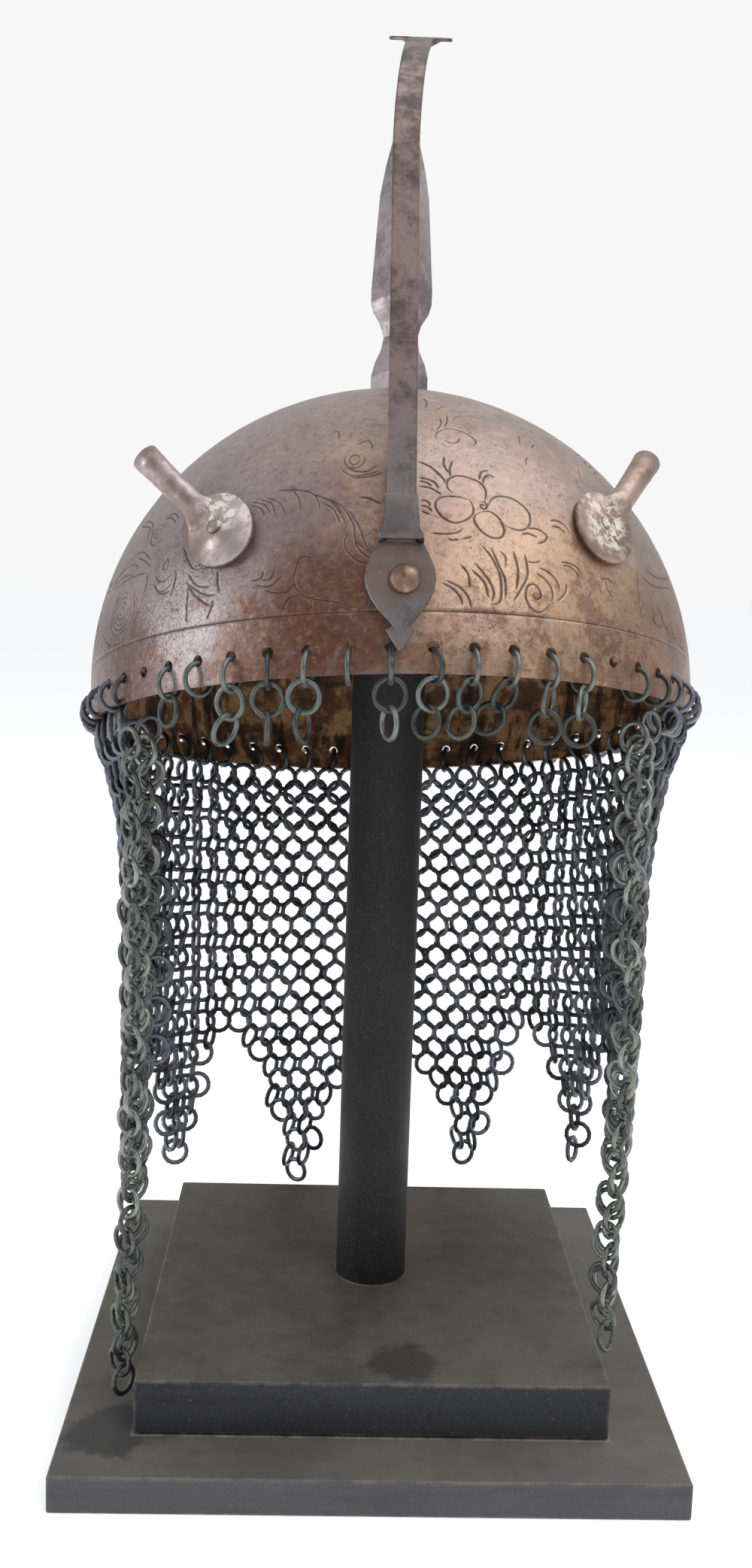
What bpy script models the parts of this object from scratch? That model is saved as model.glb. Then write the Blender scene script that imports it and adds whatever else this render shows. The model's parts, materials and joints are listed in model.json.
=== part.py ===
"""A kulah khud, the Indo-Persian helmet, resting on its stepped wooden stand.

Metres, +Z up. The origin is the middle of the stand's underside, and the face side is -Y.
"""

import math

import bmesh
import bpy
from mathutils import Matrix, Vector

GAP = 0.0003

# Stand
BASE_SIZE = 0.198
BASE_HEIGHT = 0.0120
PLINTH_SIZE = 0.1524
PLINTH_HEIGHT = 0.0184
PLINTH_SHIFT = 0.0005
BOARD_BEVEL = 0.0007
POST_RADIUS = 0.0127
POST_CENTRE = (0.0012, 0.0017)
POST_SIDES = 40

# Helmet frame: the middle of the circle of rim holes, with +Z up the bowl's own axis
HELMET_CENTRE = Vector((0.0018, 0.0, 0.2388))
TILT_BACK = math.radians(15.5)
TILT_SIDE = math.radians(1.8)

# Skull: a part of a sphere, whose centre stands a little above the holes
SKULL_RADIUS = 0.1026
SKULL_WALL = 0.0013
SPHERE_HEIGHT = 0.0062
RIM_HEIGHT = -0.0075
SKULL_BANDS = 13
SKULL_SIDES = 108
HOLE_COUNT = 54
HOLE_RADIUS = 0.00175
HOLE_PITCH = 2 * math.pi / HOLE_COUNT
HOLE_BAND = 0.0045
HOLE_START = math.radians(-2.35)

# Spike: height up the helmet's axis, and half its width from corner to corner
SPIKE_SECTIONS = [
    {"height": 0.1075, "half_width": 0.0102},
    {"height": 0.1120, "half_width": 0.0107},
    {"height": 0.1205, "half_width": 0.0108},
    {"height": 0.1255, "half_width": 0.0096},
    {"height": 0.1305, "half_width": 0.0074},
    {"height": 0.1355, "half_width": 0.0064},
    {"height": 0.1405, "half_width": 0.0078},
    {"height": 0.1450, "half_width": 0.0106},
    {"height": 0.1485, "half_width": 0.0116},
    {"height": 0.1530, "half_width": 0.0117},
    {"height": 0.1700, "half_width": 0.0107},
    {"height": 0.1890, "half_width": 0.0095},
    {"height": 0.2000, "half_width": 0.0077},
    {"height": 0.2100, "half_width": 0.0054},
    {"height": 0.2180, "half_width": 0.0030},
    {"height": 0.2250, "half_width": 0.0005},
]
SPIKE_CORNER = 0.12
SPIKE_LEAN = math.radians(2.2)

# Nasal frame: where the bar's line touches the bowl's sphere, +Z up the bar, -Y away from the bowl
NASAL_LEAN = math.radians(10.5)
NASAL_ROLL = math.radians(1.8)
NASAL_SHIFT = -0.0012
BAR_WIDTH = 0.0084
BAR_THICKNESS = 0.0028
BAR_STANDOFF = 0.0012
BAR_STRAIGHT_TOP = 0.141
BAR_CHAMFER = 0.0005
CURL_RADIUS = 0.094
CURL_ANGLE = math.radians(46.0)
CURL_STEPS = 14
CURL_DRIFT = 0.0060
FINIAL_THICKNESS = 0.0012
LOWER_FINIAL = [
    {"height": -0.0282, "half_width": 0.0003},
    {"height": -0.0220, "half_width": 0.0040},
    {"height": -0.0208, "half_width": 0.0021},
    {"height": -0.0200, "half_width": 0.0025},
    {"height": -0.0160, "half_width": 0.0061},
    {"height": -0.0126, "half_width": 0.0083},
    {"height": -0.0094, "half_width": 0.0096},
    {"height": -0.0064, "half_width": 0.0101},
    {"height": -0.0034, "half_width": 0.0098},
    {"height": -0.0008, "half_width": 0.0090},
    {"height": 0.0020, "half_width": 0.0078},
    {"height": 0.0046, "half_width": 0.0066},
]
UPPER_FINIAL = [
    {"along": 0.0012, "half_width": 0.0072},
    {"along": 0.0040, "half_width": 0.0101},
    {"along": 0.0075, "half_width": 0.0110},
    {"along": 0.0110, "half_width": 0.0104},
    {"along": 0.0150, "half_width": 0.0082},
    {"along": 0.0190, "half_width": 0.0048},
    {"along": 0.0235, "half_width": 0.0003},
]
SLIDE_CLEARANCE = 0.0003
BRACKET_WALL = 0.0007
BRACKET_SHAPE = [
    {"height": 0.0050, "flare": 0.0013},
    {"height": 0.0066, "flare": 0.0011},
    {"height": 0.0084, "flare": 0.0000},
    {"height": 0.0195, "flare": 0.0000},
]
BOSS_POSITION = (0.0012, -0.0066)
BOSS_RADIUS = 0.0045
BOSS_RIM = 0.0006
BOSS_HEIGHT = 0.0036
BOSS_SHANK_RADIUS = 0.0014

# Plume holders: where each is riveted on the bowl, which way its tube turns from the bowl's up
# direction, how steeply the tube lifts off the bowl, and how long it is
PLUME_HOLDERS = [
    {"side": "left", "azimuth": -34.3, "elevation": 19.5, "turn": -47.0, "lift": 28.0, "reach": 0.0218},
    {"side": "right", "azimuth": 40.6, "elevation": 21.3, "turn": 45.0, "lift": 10.0, "reach": 0.0242},
]
PLATE_HALF_LENGTH = 0.0152
PLATE_HALF_WIDTH = 0.0114
PLATE_SHIFT = -0.0012
PLATE_THICKNESS = 0.0013
PLUME_SIDES = 24
TONGUE_START = (0.0045, 0.00095)
TONGUE_WIDE = (0.0088, 0.00060)
TUBE_FOOT = (0.0130, 0.0034)
TUBE_NECK_RADIUS = 0.0039
TUBE_MOUTH_RADIUS = 0.0045
TUBE_WALL = 0.0010
TONGUE_STEPS = 7
BORE_START = 0.0030
RIVET_RADIUS = 0.0026
RIVET_HEIGHT = 0.0009

# Mail: a hanging curtain of one solid, with dags along its hem
MAIL_THICKNESS = 0.0030
MAIL_PULL = 0.0130
MAIL_PULL_DEPTH = 0.022
MAIL_ROWS = 10
MAIL_COLUMN_DEGREES = 4.2
HEM = [
    {"azimuth": 57.5, "drop": 0.118},
    {"azimuth": 73.0, "drop": 0.112},
    {"azimuth": 91.0, "drop": 0.170},
    {"azimuth": 108.0, "drop": 0.108},
    {"azimuth": 124.0, "drop": 0.166},
    {"azimuth": 141.0, "drop": 0.106},
    {"azimuth": 155.0, "drop": 0.180},
    {"azimuth": 176.5, "drop": 0.112},
    {"azimuth": 198.0, "drop": 0.184},
    {"azimuth": 215.5, "drop": 0.106},
    {"azimuth": 232.0, "drop": 0.173},
    {"azimuth": 250.0, "drop": 0.110},
    {"azimuth": 267.0, "drop": 0.172},
    {"azimuth": 286.0, "drop": 0.112},
    {"azimuth": 302.5, "drop": 0.118},
]

# The mail's two front edges, gathered into ropes: height above the floor, place and half width
LAPPETS = {
    "left": [
        {"height": 0.2395, "x": -0.0775, "y": -0.0630, "half_width": 0.0062},
        {"height": 0.2250, "x": -0.0765, "y": -0.0625, "half_width": 0.0064},
        {"height": 0.1950, "x": -0.0775, "y": -0.0615, "half_width": 0.0058},
        {"height": 0.1500, "x": -0.0775, "y": -0.0610, "half_width": 0.0050},
        {"height": 0.1050, "x": -0.0780, "y": -0.0605, "half_width": 0.0047},
        {"height": 0.0700, "x": -0.0792, "y": -0.0600, "half_width": 0.0045},
        {"height": 0.0400, "x": -0.0812, "y": -0.0600, "half_width": 0.0042},
        {"height": 0.0180, "x": -0.0816, "y": -0.0600, "half_width": 0.0036},
    ],
    "right": [
        {"height": 0.2445, "x": 0.0785, "y": -0.0625, "half_width": 0.0062},
        {"height": 0.2300, "x": 0.0760, "y": -0.0625, "half_width": 0.0064},
        {"height": 0.2000, "x": 0.0770, "y": -0.0620, "half_width": 0.0058},
        {"height": 0.1480, "x": 0.0790, "y": -0.0615, "half_width": 0.0050},
        {"height": 0.1150, "x": 0.0780, "y": -0.0610, "half_width": 0.0048},
        {"height": 0.0820, "x": 0.0765, "y": -0.0610, "half_width": 0.0045},
        {"height": 0.0500, "x": 0.0762, "y": -0.0610, "half_width": 0.0042},
        {"height": 0.0350, "x": 0.0762, "y": -0.0610, "half_width": 0.0034},
    ],
}
LAPPET_DEPTH_RATIO = 0.85
LAPPET_SIDES = 12

# Loose rings in the front holes. Each ring hangs from the one before, leaning so many degrees to an
# onlooker's right, and faces so many degrees away from edge-on.
RING_HALF_LENGTH = 0.0048
RING_HALF_WIDTH = 0.0044
RING_WIRE = 0.0007
RING_SIDES = 14
WIRE_SIDES = 6
RING_PLAY = 0.0002
HOLE_PLAY = 0.00045
LOOSE_CHAINS = [
    {"hole": -6, "rings": [{"lean": -3, "face": -42}, {"lean": -8, "face": 40}]},
    {"hole": -5, "rings": [{"lean": -5, "face": -55}]},
    {"hole": -4, "rings": [{"lean": -8, "face": -29}, {"lean": 0, "face": 62}, {"lean": -22, "face": -40}]},
    {"hole": -3, "rings": [{"lean": -2, "face": -4}, {"lean": 0, "face": 85}, {"lean": -2, "face": 5}]},
    {"hole": -2, "rings": [{"lean": -9, "face": -10}, {"lean": -5, "face": 88}, {"lean": 5, "face": -25}]},
    {"hole": -1, "rings": [{"lean": 0, "face": -6}]},
    {"hole": 0, "rings": [{"lean": 0, "face": 0}, {"lean": 0, "face": 90}, {"lean": 0, "face": 25}]},
    {"hole": 1, "rings": [{"lean": 12, "face": 26}, {"lean": -14, "face": -72}, {"lean": -8, "face": 50}]},
    {"hole": 2, "rings": [{"lean": -2, "face": 13}, {"lean": -13, "face": -50}, {"lean": -21, "face": 50}]},
    {"hole": 3, "rings": [{"lean": -7, "face": 19}, {"lean": -28, "face": -50}, {"lean": -40, "face": 60}]},
    {"hole": 4, "rings": [{"lean": 4, "face": 26}, {"lean": -6, "face": -26}, {"lean": -3, "face": 82}]},
    {"hole": 5, "rings": [{"lean": 5, "face": 36}, {"lean": -4, "face": -22}, {"lean": -2, "face": 78}]},
    {"hole": 7, "rings": [{"lean": 3, "face": 47}]},
    {"hole": 8, "rings": [{"lean": 0, "face": 54}]},
]

METALS = {
    "bowl_steel": {"colour": (0.36, 0.25, 0.20), "roughness": 0.45, "metallic": 0.9},
    "fitting_steel": {"colour": (0.25, 0.22, 0.21), "roughness": 0.45, "metallic": 0.9},
    "holder_steel": {"colour": (0.38, 0.26, 0.21), "roughness": 0.45, "metallic": 0.9},
    "mail_iron": {"colour": (0.09, 0.09, 0.09), "roughness": 0.55, "metallic": 0.8},
    "loose_ring_iron": {"colour": (0.30, 0.32, 0.31), "roughness": 0.5, "metallic": 0.8},
    "black_wood": {"colour": (0.05, 0.05, 0.05), "roughness": 0.6, "metallic": 0.0},
}


def clear_scene():
    for obj in list(bpy.data.objects):
        bpy.data.objects.remove(obj, do_unlink=True)


def material(kind, name):
    """A Principled material of one kind, for one sub-part."""
    made = bpy.data.materials.new(name)
    made.use_nodes = True
    shader = made.node_tree.nodes["Principled BSDF"]
    finish = METALS[kind]
    shader.inputs["Base Color"].default_value = (*finish["colour"], 1.0)
    shader.inputs["Roughness"].default_value = finish["roughness"]
    shader.inputs["Metallic"].default_value = finish["metallic"]
    return made


def add_object(name, mesh_data, kind, parent=None, place=None):
    """Turns a bmesh into a named object with its own material, placed in its parent's frame."""
    bmesh.ops.recalc_face_normals(mesh_data, faces=mesh_data.faces)
    mesh = bpy.data.meshes.new(name)
    mesh_data.to_mesh(mesh)
    mesh_data.free()
    if kind:
        mesh.materials.append(material(kind, name))
    mesh.shade_smooth()
    mesh.set_sharp_from_angle(angle=math.radians(40))
    obj = bpy.data.objects.new(name, mesh)
    bpy.context.collection.objects.link(obj)
    if parent:
        obj.parent = parent
    if place:
        obj.matrix_local = place
    return obj


def add_empty(name, matrix, parent=None):
    empty = bpy.data.objects.new(name, None)
    bpy.context.collection.objects.link(empty)
    empty.empty_display_size = 0.02
    if parent:
        empty.parent = parent
    empty.matrix_local = matrix
    return empty


def hide_cutter(obj):
    obj.hide_render = True
    obj.display_type = "WIRE"


def boolean(obj, other, operation):
    modifier = obj.modifiers.new(f"{operation.lower()} {other.name}", "BOOLEAN")
    modifier.operation = operation
    modifier.solver = "EXACT"
    modifier.object = other
    hide_cutter(other)


def weigh_normals(obj):
    """Keeps big faces flat or round to the eye where a Boolean has cut small ones beside them."""
    modifier = obj.modifiers.new("weigh normals", "WEIGHTED_NORMAL")
    modifier.keep_sharp = True


def bevel(obj, width):
    modifier = obj.modifiers.new("bevel", "BEVEL")
    modifier.width = width
    modifier.segments = 2
    modifier.limit_method = "ANGLE"


def loft(rings):
    """A closed body through rings of equally many points, with a flat face on each end."""
    mesh = bmesh.new()
    levels = [[mesh.verts.new(point) for point in ring] for ring in rings]
    count = len(levels[0])
    for lower, upper in zip(levels, levels[1:]):
        for i in range(count):
            j = (i + 1) % count
            mesh.faces.new((lower[i], lower[j], upper[j], upper[i]))
    mesh.faces.new(levels[0])
    mesh.faces.new(levels[-1])
    return mesh


def box(low, high):
    mesh = bmesh.new()
    size = [h - l for l, h in zip(low, high)]
    middle = [(h + l) / 2 for l, h in zip(low, high)]
    bmesh.ops.create_cube(mesh, size=1.0, matrix=Matrix.Translation(middle) @ Matrix.Diagonal((*size, 1)))
    return mesh


def turned(profile, sides):
    """A body turned about Z from (radius, height) points that start and end on the axis."""
    mesh = bmesh.new()
    points = [mesh.verts.new((radius, 0, height)) for radius, height in profile]
    edges = [mesh.edges.new(pair) for pair in zip(points, points[1:])]
    bmesh.ops.spin(mesh, geom=points + edges, axis=(0, 0, 1), cent=(0, 0, 0),
                   angle=2 * math.pi, steps=sides, use_merge=True)
    bmesh.ops.remove_doubles(mesh, verts=mesh.verts, dist=1e-7)
    return mesh


# ---- the skull


def sphere_elevation(height):
    return math.asin((height - SPHERE_HEIGHT) / SKULL_RADIUS)


def sphere_frame(azimuth, elevation):
    """A frame on the bowl: +Z up along its surface, -Y straight out from it, +X to an onlooker's right."""
    out = Vector((math.sin(azimuth) * math.cos(elevation),
                  -math.cos(azimuth) * math.cos(elevation), math.sin(elevation)))
    right = Vector((math.cos(azimuth), math.sin(azimuth), 0))
    up = right.cross(-out)
    centre = Vector((0, 0, SPHERE_HEIGHT)) + SKULL_RADIUS * out
    turn = Matrix((right, -out, up)).transposed().to_4x4()
    return Matrix.Translation(centre) @ turn


def bowl_levels(radius, elevations):
    """Rings of points of the bowl, with each hole's azimuth in the middle of a side."""
    pitch = 2 * math.pi / SKULL_SIDES
    for elevation in elevations:
        ring = []
        for i in range(SKULL_SIDES):
            azimuth = HOLE_START + (i - 0.5) * pitch
            ring.append(Vector((
                radius * math.cos(elevation) * math.sin(azimuth),
                -radius * math.cos(elevation) * math.cos(azimuth),
                SPHERE_HEIGHT + radius * math.sin(elevation),
            )))
        yield ring


def bowl_skin(mesh, radius, elevations):
    """One skin of the bowl, closed at its crown; returns its lowest ring."""
    levels = [[mesh.verts.new(p) for p in ring] for ring in bowl_levels(radius, elevations)]
    for lower, upper in zip(levels, levels[1:]):
        for i in range(SKULL_SIDES):
            j = (i + 1) % SKULL_SIDES
            mesh.faces.new((lower[i], lower[j], upper[j], upper[i]))
    crown = mesh.verts.new((0, 0, SPHERE_HEIGHT + radius))
    for i in range(SKULL_SIDES):
        mesh.faces.new((levels[-1][i], levels[-1][(i + 1) % SKULL_SIDES], crown))
    return levels[0]


def band_elevations(first):
    """From the rim, over the band of holes, and on in even steps towards the crown."""
    over_holes = sphere_elevation(HOLE_BAND)
    span = math.radians(86.0) - over_holes
    steps = [over_holes + span * i / (SKULL_BANDS - 1) for i in range(SKULL_BANDS)]
    return [first] + steps


def skull(helmet):
    mesh = bmesh.new()
    outer = bowl_skin(mesh, SKULL_RADIUS, band_elevations(sphere_elevation(RIM_HEIGHT)))
    inner_radius = SKULL_RADIUS - SKULL_WALL
    inner_rim = math.asin((RIM_HEIGHT - SPHERE_HEIGHT) / inner_radius)
    inner = bowl_skin(mesh, inner_radius, band_elevations(inner_rim))
    for i in range(SKULL_SIDES):
        j = (i + 1) % SKULL_SIDES
        mesh.faces.new((outer[i], inner[i], inner[j], outer[j]))
    made = add_object("skull", mesh, "bowl_steel", helmet)
    boolean(made, rim_hole_cutter(helmet), "DIFFERENCE")
    weigh_normals(made)


def hole_azimuth(index):
    return HOLE_START + index * HOLE_PITCH


def rim_hole_cutter(helmet):
    """All the rim holes' drills, as one object."""
    mesh = bmesh.new()
    for index in range(HOLE_COUNT):
        frame = sphere_frame(hole_azimuth(index), sphere_elevation(0.0))
        along_hole = frame @ Matrix.Rotation(math.pi / 2, 4, "X")
        bmesh.ops.create_cone(mesh, cap_ends=True, segments=8, radius1=HOLE_RADIUS,
                              radius2=HOLE_RADIUS, depth=0.008, matrix=along_hole)
    return add_object("rim_hole_drills", mesh, None, helmet)


def bowl_clearance(helmet, name):
    """The bowl's outer form a gap larger and filled, which cuts the pieces that sit on it."""
    mesh = bmesh.new()
    rim = bowl_skin(mesh, SKULL_RADIUS + GAP, band_elevations(math.radians(-25.0)))
    mesh.faces.new(rim)
    made = add_object(name, mesh, None, helmet)
    hide_cutter(made)
    return made


# ---- the spike


def spike(helmet, clearance):
    rings = []
    for section in SPIKE_SECTIONS:
        reach = section["half_width"]
        cut = reach * SPIKE_CORNER
        corners = []
        for quarter in range(4):
            ahead = Vector((math.cos(quarter * math.pi / 2), math.sin(quarter * math.pi / 2), 0))
            aside = Vector((-ahead.y, ahead.x, 0))
            for sign in (-1, 1):
                point = ahead * (reach - cut / 2) + aside * sign * cut / 2
                corners.append((point.x, point.y, section["height"]))
        rings.append(corners)
    centre = Matrix.Translation((0, 0, SPHERE_HEIGHT))
    lean = centre @ Matrix.Rotation(SPIKE_LEAN, 4, "Y") @ centre.inverted()
    made = add_object("spike", loft(rings), "fitting_steel", helmet, lean)
    boolean(made, clearance, "DIFFERENCE")
    return made


# ---- the nasal


def nasal_matrix():
    """The nasal's frame within the helmet's."""
    touch = Vector((NASAL_SHIFT, -SKULL_RADIUS * math.cos(NASAL_LEAN),
                    SPHERE_HEIGHT + SKULL_RADIUS * math.sin(NASAL_LEAN)))
    lean = Matrix.Rotation(-NASAL_LEAN, 4, "X")
    roll = Matrix.Rotation(NASAL_ROLL, 4, "Y")
    return Matrix.Translation(touch) @ lean @ roll


def bar_section(origin, out, half_width, thickness):
    """Eight points of a chamfered bar: origin is the middle of its back face."""
    cut = min(BAR_CHAMFER, thickness * 0.3, half_width * 0.4)
    outline = [
        (-half_width, cut), (-half_width + cut, 0), (half_width - cut, 0), (half_width, cut),
        (half_width, thickness - cut), (half_width - cut, thickness),
        (-half_width + cut, thickness), (-half_width, thickness - cut),
    ]
    return [origin + Vector((x, 0, 0)) + out * depth for x, depth in outline]


def bar_stations():
    """Sections of the whole nasal, from the lower finial's point to the upper finial's."""
    ahead = Vector((0, -1, 0))
    for section in LOWER_FINIAL:
        origin = Vector((0, -BAR_STANDOFF, section["height"]))
        yield bar_section(origin, ahead, section["half_width"], FINIAL_THICKNESS)
    foot = LOWER_FINIAL[-1]["height"] + 0.0001
    for height in (foot, BAR_STRAIGHT_TOP):
        yield bar_section(Vector((0, -BAR_STANDOFF, height)), ahead, BAR_WIDTH / 2, BAR_THICKNESS)
    for step in range(1, CURL_STEPS + 1):
        origin, out, _ = curl_point(step / CURL_STEPS)
        yield bar_section(origin, out, BAR_WIDTH / 2, BAR_THICKNESS)
    origin, out, along = curl_point(1.0)
    for section in UPPER_FINIAL:
        point = origin + along * section["along"] + out * (BAR_THICKNESS - FINIAL_THICKNESS)
        yield bar_section(point, out, section["half_width"], FINIAL_THICKNESS)


def curl_point(share):
    """The back face's middle on the curl, with the directions out of the face and along the bar."""
    angle = CURL_ANGLE * share
    origin = Vector((
        CURL_DRIFT * share ** 1.5,
        -BAR_STANDOFF + CURL_RADIUS * (1 - math.cos(angle)),
        BAR_STRAIGHT_TOP + CURL_RADIUS * math.sin(angle),
    ))
    out = Vector((0, -math.cos(angle), math.sin(angle)))
    along = Vector((0, math.sin(angle), math.cos(angle)))
    return origin, out, along


def nasal(helmet, clearance):
    frame = add_empty("nasal_axis", nasal_matrix(), helmet)
    bar = add_object("nasal_bar", loft(list(bar_stations())), "fitting_steel", frame)
    boolean(bar, boss_hole_drill(frame), "DIFFERENCE")
    weigh_normals(bar)
    nasal_boss(frame)
    nasal_bracket(frame, clearance)


def facing_out(x, z, depth):
    """A frame whose +Z points away from the bowl, for round things on the nasal."""
    turn = Matrix.Rotation(math.pi / 2, 4, "X")
    return Matrix.Translation((x, -depth, z)) @ turn


def boss_hole_drill(frame):
    mesh = bmesh.new()
    bmesh.ops.create_cone(mesh, cap_ends=True, segments=16, radius1=BOSS_SHANK_RADIUS + GAP,
                          radius2=BOSS_SHANK_RADIUS + GAP, depth=0.01)
    return add_object("boss_hole_drill", mesh, None, frame, facing_out(*BOSS_POSITION, 0))


def nasal_boss(frame):
    """The cone-headed boss on the lower finial, with its shank through the plate."""
    face = FINIAL_THICKNESS + GAP
    profile = [
        (0, GAP),
        (BOSS_SHANK_RADIUS, GAP),
        (BOSS_SHANK_RADIUS, face),
        (BOSS_RADIUS, face),
        (BOSS_RADIUS, face + BOSS_RIM),
        (BOSS_RADIUS * 0.78, face + BOSS_RIM + 0.0009),
        (BOSS_RADIUS * 0.25, face + BOSS_HEIGHT - 0.0004),
        (0, face + BOSS_HEIGHT),
    ]
    place = facing_out(*BOSS_POSITION, BAR_STANDOFF)
    add_object("nasal_boss", turned(profile, 24), "holder_steel", frame, place)


def nasal_bracket(frame, clearance):
    """A strap over the bar, whose two cheeks come down to the bowl."""
    inner = BAR_WIDTH / 2 + SLIDE_CLEARANCE
    ceiling = BAR_STANDOFF + BAR_THICKNESS + SLIDE_CLEARANCE
    top = ceiling + BRACKET_WALL
    foot = -0.004
    rings = []
    for section in BRACKET_SHAPE:
        outer = inner + BRACKET_WALL + section["flare"]
        outline = [(-outer, foot), (-outer, top - BAR_CHAMFER), (-outer + BAR_CHAMFER, top),
                   (outer - BAR_CHAMFER, top), (outer, top - BAR_CHAMFER), (outer, foot),
                   (inner, foot), (inner, ceiling), (-inner, ceiling), (-inner, foot)]
        rings.append([Vector((x, -depth, section["height"])) for x, depth in outline])
    made = add_object("nasal_bracket", loft(rings), "fitting_steel", frame)
    boolean(made, clearance, "DIFFERENCE")


# ---- the plume holders


def tongue_levels(turn, lift, reach):
    """Oval sections of the tongue that rises from the plate and rolls into a round tube."""
    along = Vector((math.sin(turn), 0, math.cos(turn)))
    across = Vector((math.cos(turn), 0, -math.sin(turn)))
    out = Vector((0, -1, 0))
    start = along * TONGUE_START[0] + out * TONGUE_START[1]
    foot = along * TUBE_FOOT[0] + out * TUBE_FOOT[1]
    ahead = along * math.cos(lift) + out * math.sin(lift)
    handle = (foot - start).length * 0.5
    for step in range(TONGUE_STEPS + 1):
        share = step / TONGUE_STEPS
        rest = 1 - share
        middle = (start * rest ** 3 + (start + along * handle) * 3 * rest ** 2 * share
                  + (foot - ahead * handle) * 3 * rest * share ** 2 + foot * share ** 3)
        tip = along.lerp(ahead, share).normalized()
        eased = share * share * (3 - 2 * share)
        half_width = TONGUE_WIDE[0] + (TUBE_NECK_RADIUS - TONGUE_WIDE[0]) * share ** 0.8
        half_height = TONGUE_WIDE[1] + (TUBE_NECK_RADIUS - TONGUE_WIDE[1]) * eased
        yield oval(middle, across, tip.cross(across), half_width, half_height)
    for share in (0.5, 0.8, 1.0):
        radius = TUBE_NECK_RADIUS + (TUBE_MOUTH_RADIUS - TUBE_NECK_RADIUS) * share ** 2
        yield oval(foot + ahead * reach * share, across, ahead.cross(across), radius, radius)


def oval(middle, across, over, half_width, half_height):
    """Points round an ellipse about a middle point."""
    points = []
    for i in range(PLUME_SIDES):
        angle = 2 * math.pi * i / PLUME_SIDES
        points.append(middle + across * half_width * math.cos(angle) + over * half_height * math.sin(angle))
    return points


def tube_bore(turn, lift, reach):
    """A cone that hollows the tube out from its mouth."""
    along = Vector((math.sin(turn), 0, math.cos(turn)))
    across = Vector((math.cos(turn), 0, -math.sin(turn)))
    out = Vector((0, -1, 0))
    foot = along * TUBE_FOOT[0] + out * TUBE_FOOT[1]
    ahead = along * math.cos(lift) + out * math.sin(lift)
    over = ahead.cross(across)
    neck = TUBE_NECK_RADIUS - TUBE_WALL
    mouth = TUBE_MOUTH_RADIUS - TUBE_WALL
    return loft([
        oval(foot + ahead * BORE_START, across, over, neck, neck),
        oval(foot + ahead * reach * 0.7, across, over, neck, neck),
        oval(foot + ahead * (reach + 0.0005), across, over, mouth, mouth),
    ])


def plume_holder(helmet, clearance, side, azimuth, elevation, turn, lift, reach):
    place = sphere_frame(math.radians(azimuth), math.radians(elevation))
    frame = add_empty(f"plume_{side}_place", place, helmet)
    turn = math.radians(turn)
    lift = math.radians(lift)
    along = Vector((math.sin(turn), 0, math.cos(turn)))
    across = Vector((math.cos(turn), 0, -math.sin(turn)))
    out = Vector((0, -1, 0))
    middle = along * PLATE_SHIFT
    faces = [oval(middle + out * depth, across, along, PLATE_HALF_WIDTH, PLATE_HALF_LENGTH)
             for depth in (GAP, GAP + PLATE_THICKNESS)]
    plate = add_object(f"plume_holder_{side}", loft(faces), "holder_steel", frame)
    tongue = add_object(f"plume_tongue_{side}", loft(list(tongue_levels(turn, lift, reach))), None, frame)
    bore = add_object(f"plume_bore_{side}", tube_bore(turn, lift, reach), None, frame)
    boolean(plate, tongue, "UNION")
    boolean(plate, bore, "DIFFERENCE")
    boolean(plate, clearance, "DIFFERENCE")
    weigh_normals(plate)

    face = GAP + PLATE_THICKNESS + GAP
    dome = [(0, face), (RIVET_RADIUS, face), (RIVET_RADIUS * 0.9, face + RIVET_HEIGHT * 0.5),
            (RIVET_RADIUS * 0.5, face + RIVET_HEIGHT * 0.9), (0, face + RIVET_HEIGHT)]
    add_object(f"plume_rivet_{side}", turned(dome, 16), "holder_steel", frame, facing_out(0, 0, 0))


# ---- the mail


def helmet_matrix():
    return (Matrix.Translation(HELMET_CENTRE)
            @ Matrix.Rotation(-TILT_BACK, 4, "X") @ Matrix.Rotation(-TILT_SIDE, 4, "Y"))


def hem_drop(azimuth):
    """How far the mail hangs below the rim, which falls and rises in straight lines between hem points."""
    for before, after in zip(HEM, HEM[1:]):
        if azimuth <= after["azimuth"]:
            share = (azimuth - before["azimuth"]) / (after["azimuth"] - before["azimuth"])
            return before["drop"] + share * (after["drop"] - before["drop"])
    return HEM[-1]["drop"]


def mail_columns():
    """Azimuths that include every hem point, with even columns between them."""
    columns = [HEM[0]["azimuth"]]
    for before, after in zip(HEM, HEM[1:]):
        span = after["azimuth"] - before["azimuth"]
        steps = max(1, round(span / MAIL_COLUMN_DEGREES))
        columns += [before["azimuth"] + span * (i + 1) / steps for i in range(steps)]
    return columns


def side_share(azimuth):
    """1 on the two sides, where the mail is drawn in, and 0 round the back."""
    from_back = abs(180.0 - azimuth)
    share = min(1.0, max(0.0, (from_back - 40.0) / 50.0))
    return share * share * (3 - 2 * share)


def mail_point(azimuth, drop, offset):
    """A point of the hanging mail: straight down from the rim, drawn in a little at the sides."""
    rim_radius = SKULL_RADIUS * math.cos(sphere_elevation(RIM_HEIGHT)) - SKULL_WALL / 2
    turn = math.radians(azimuth)
    rim = helmet_matrix() @ Vector((rim_radius * math.sin(turn), -rim_radius * math.cos(turn), RIM_HEIGHT))
    pull = MAIL_PULL * side_share(azimuth) * (1 - math.exp(-drop / MAIL_PULL_DEPTH))
    outward = Vector((math.sin(turn), -math.cos(turn), 0))
    return rim + outward * (offset - pull) - Vector((0, 0, drop))


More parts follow.
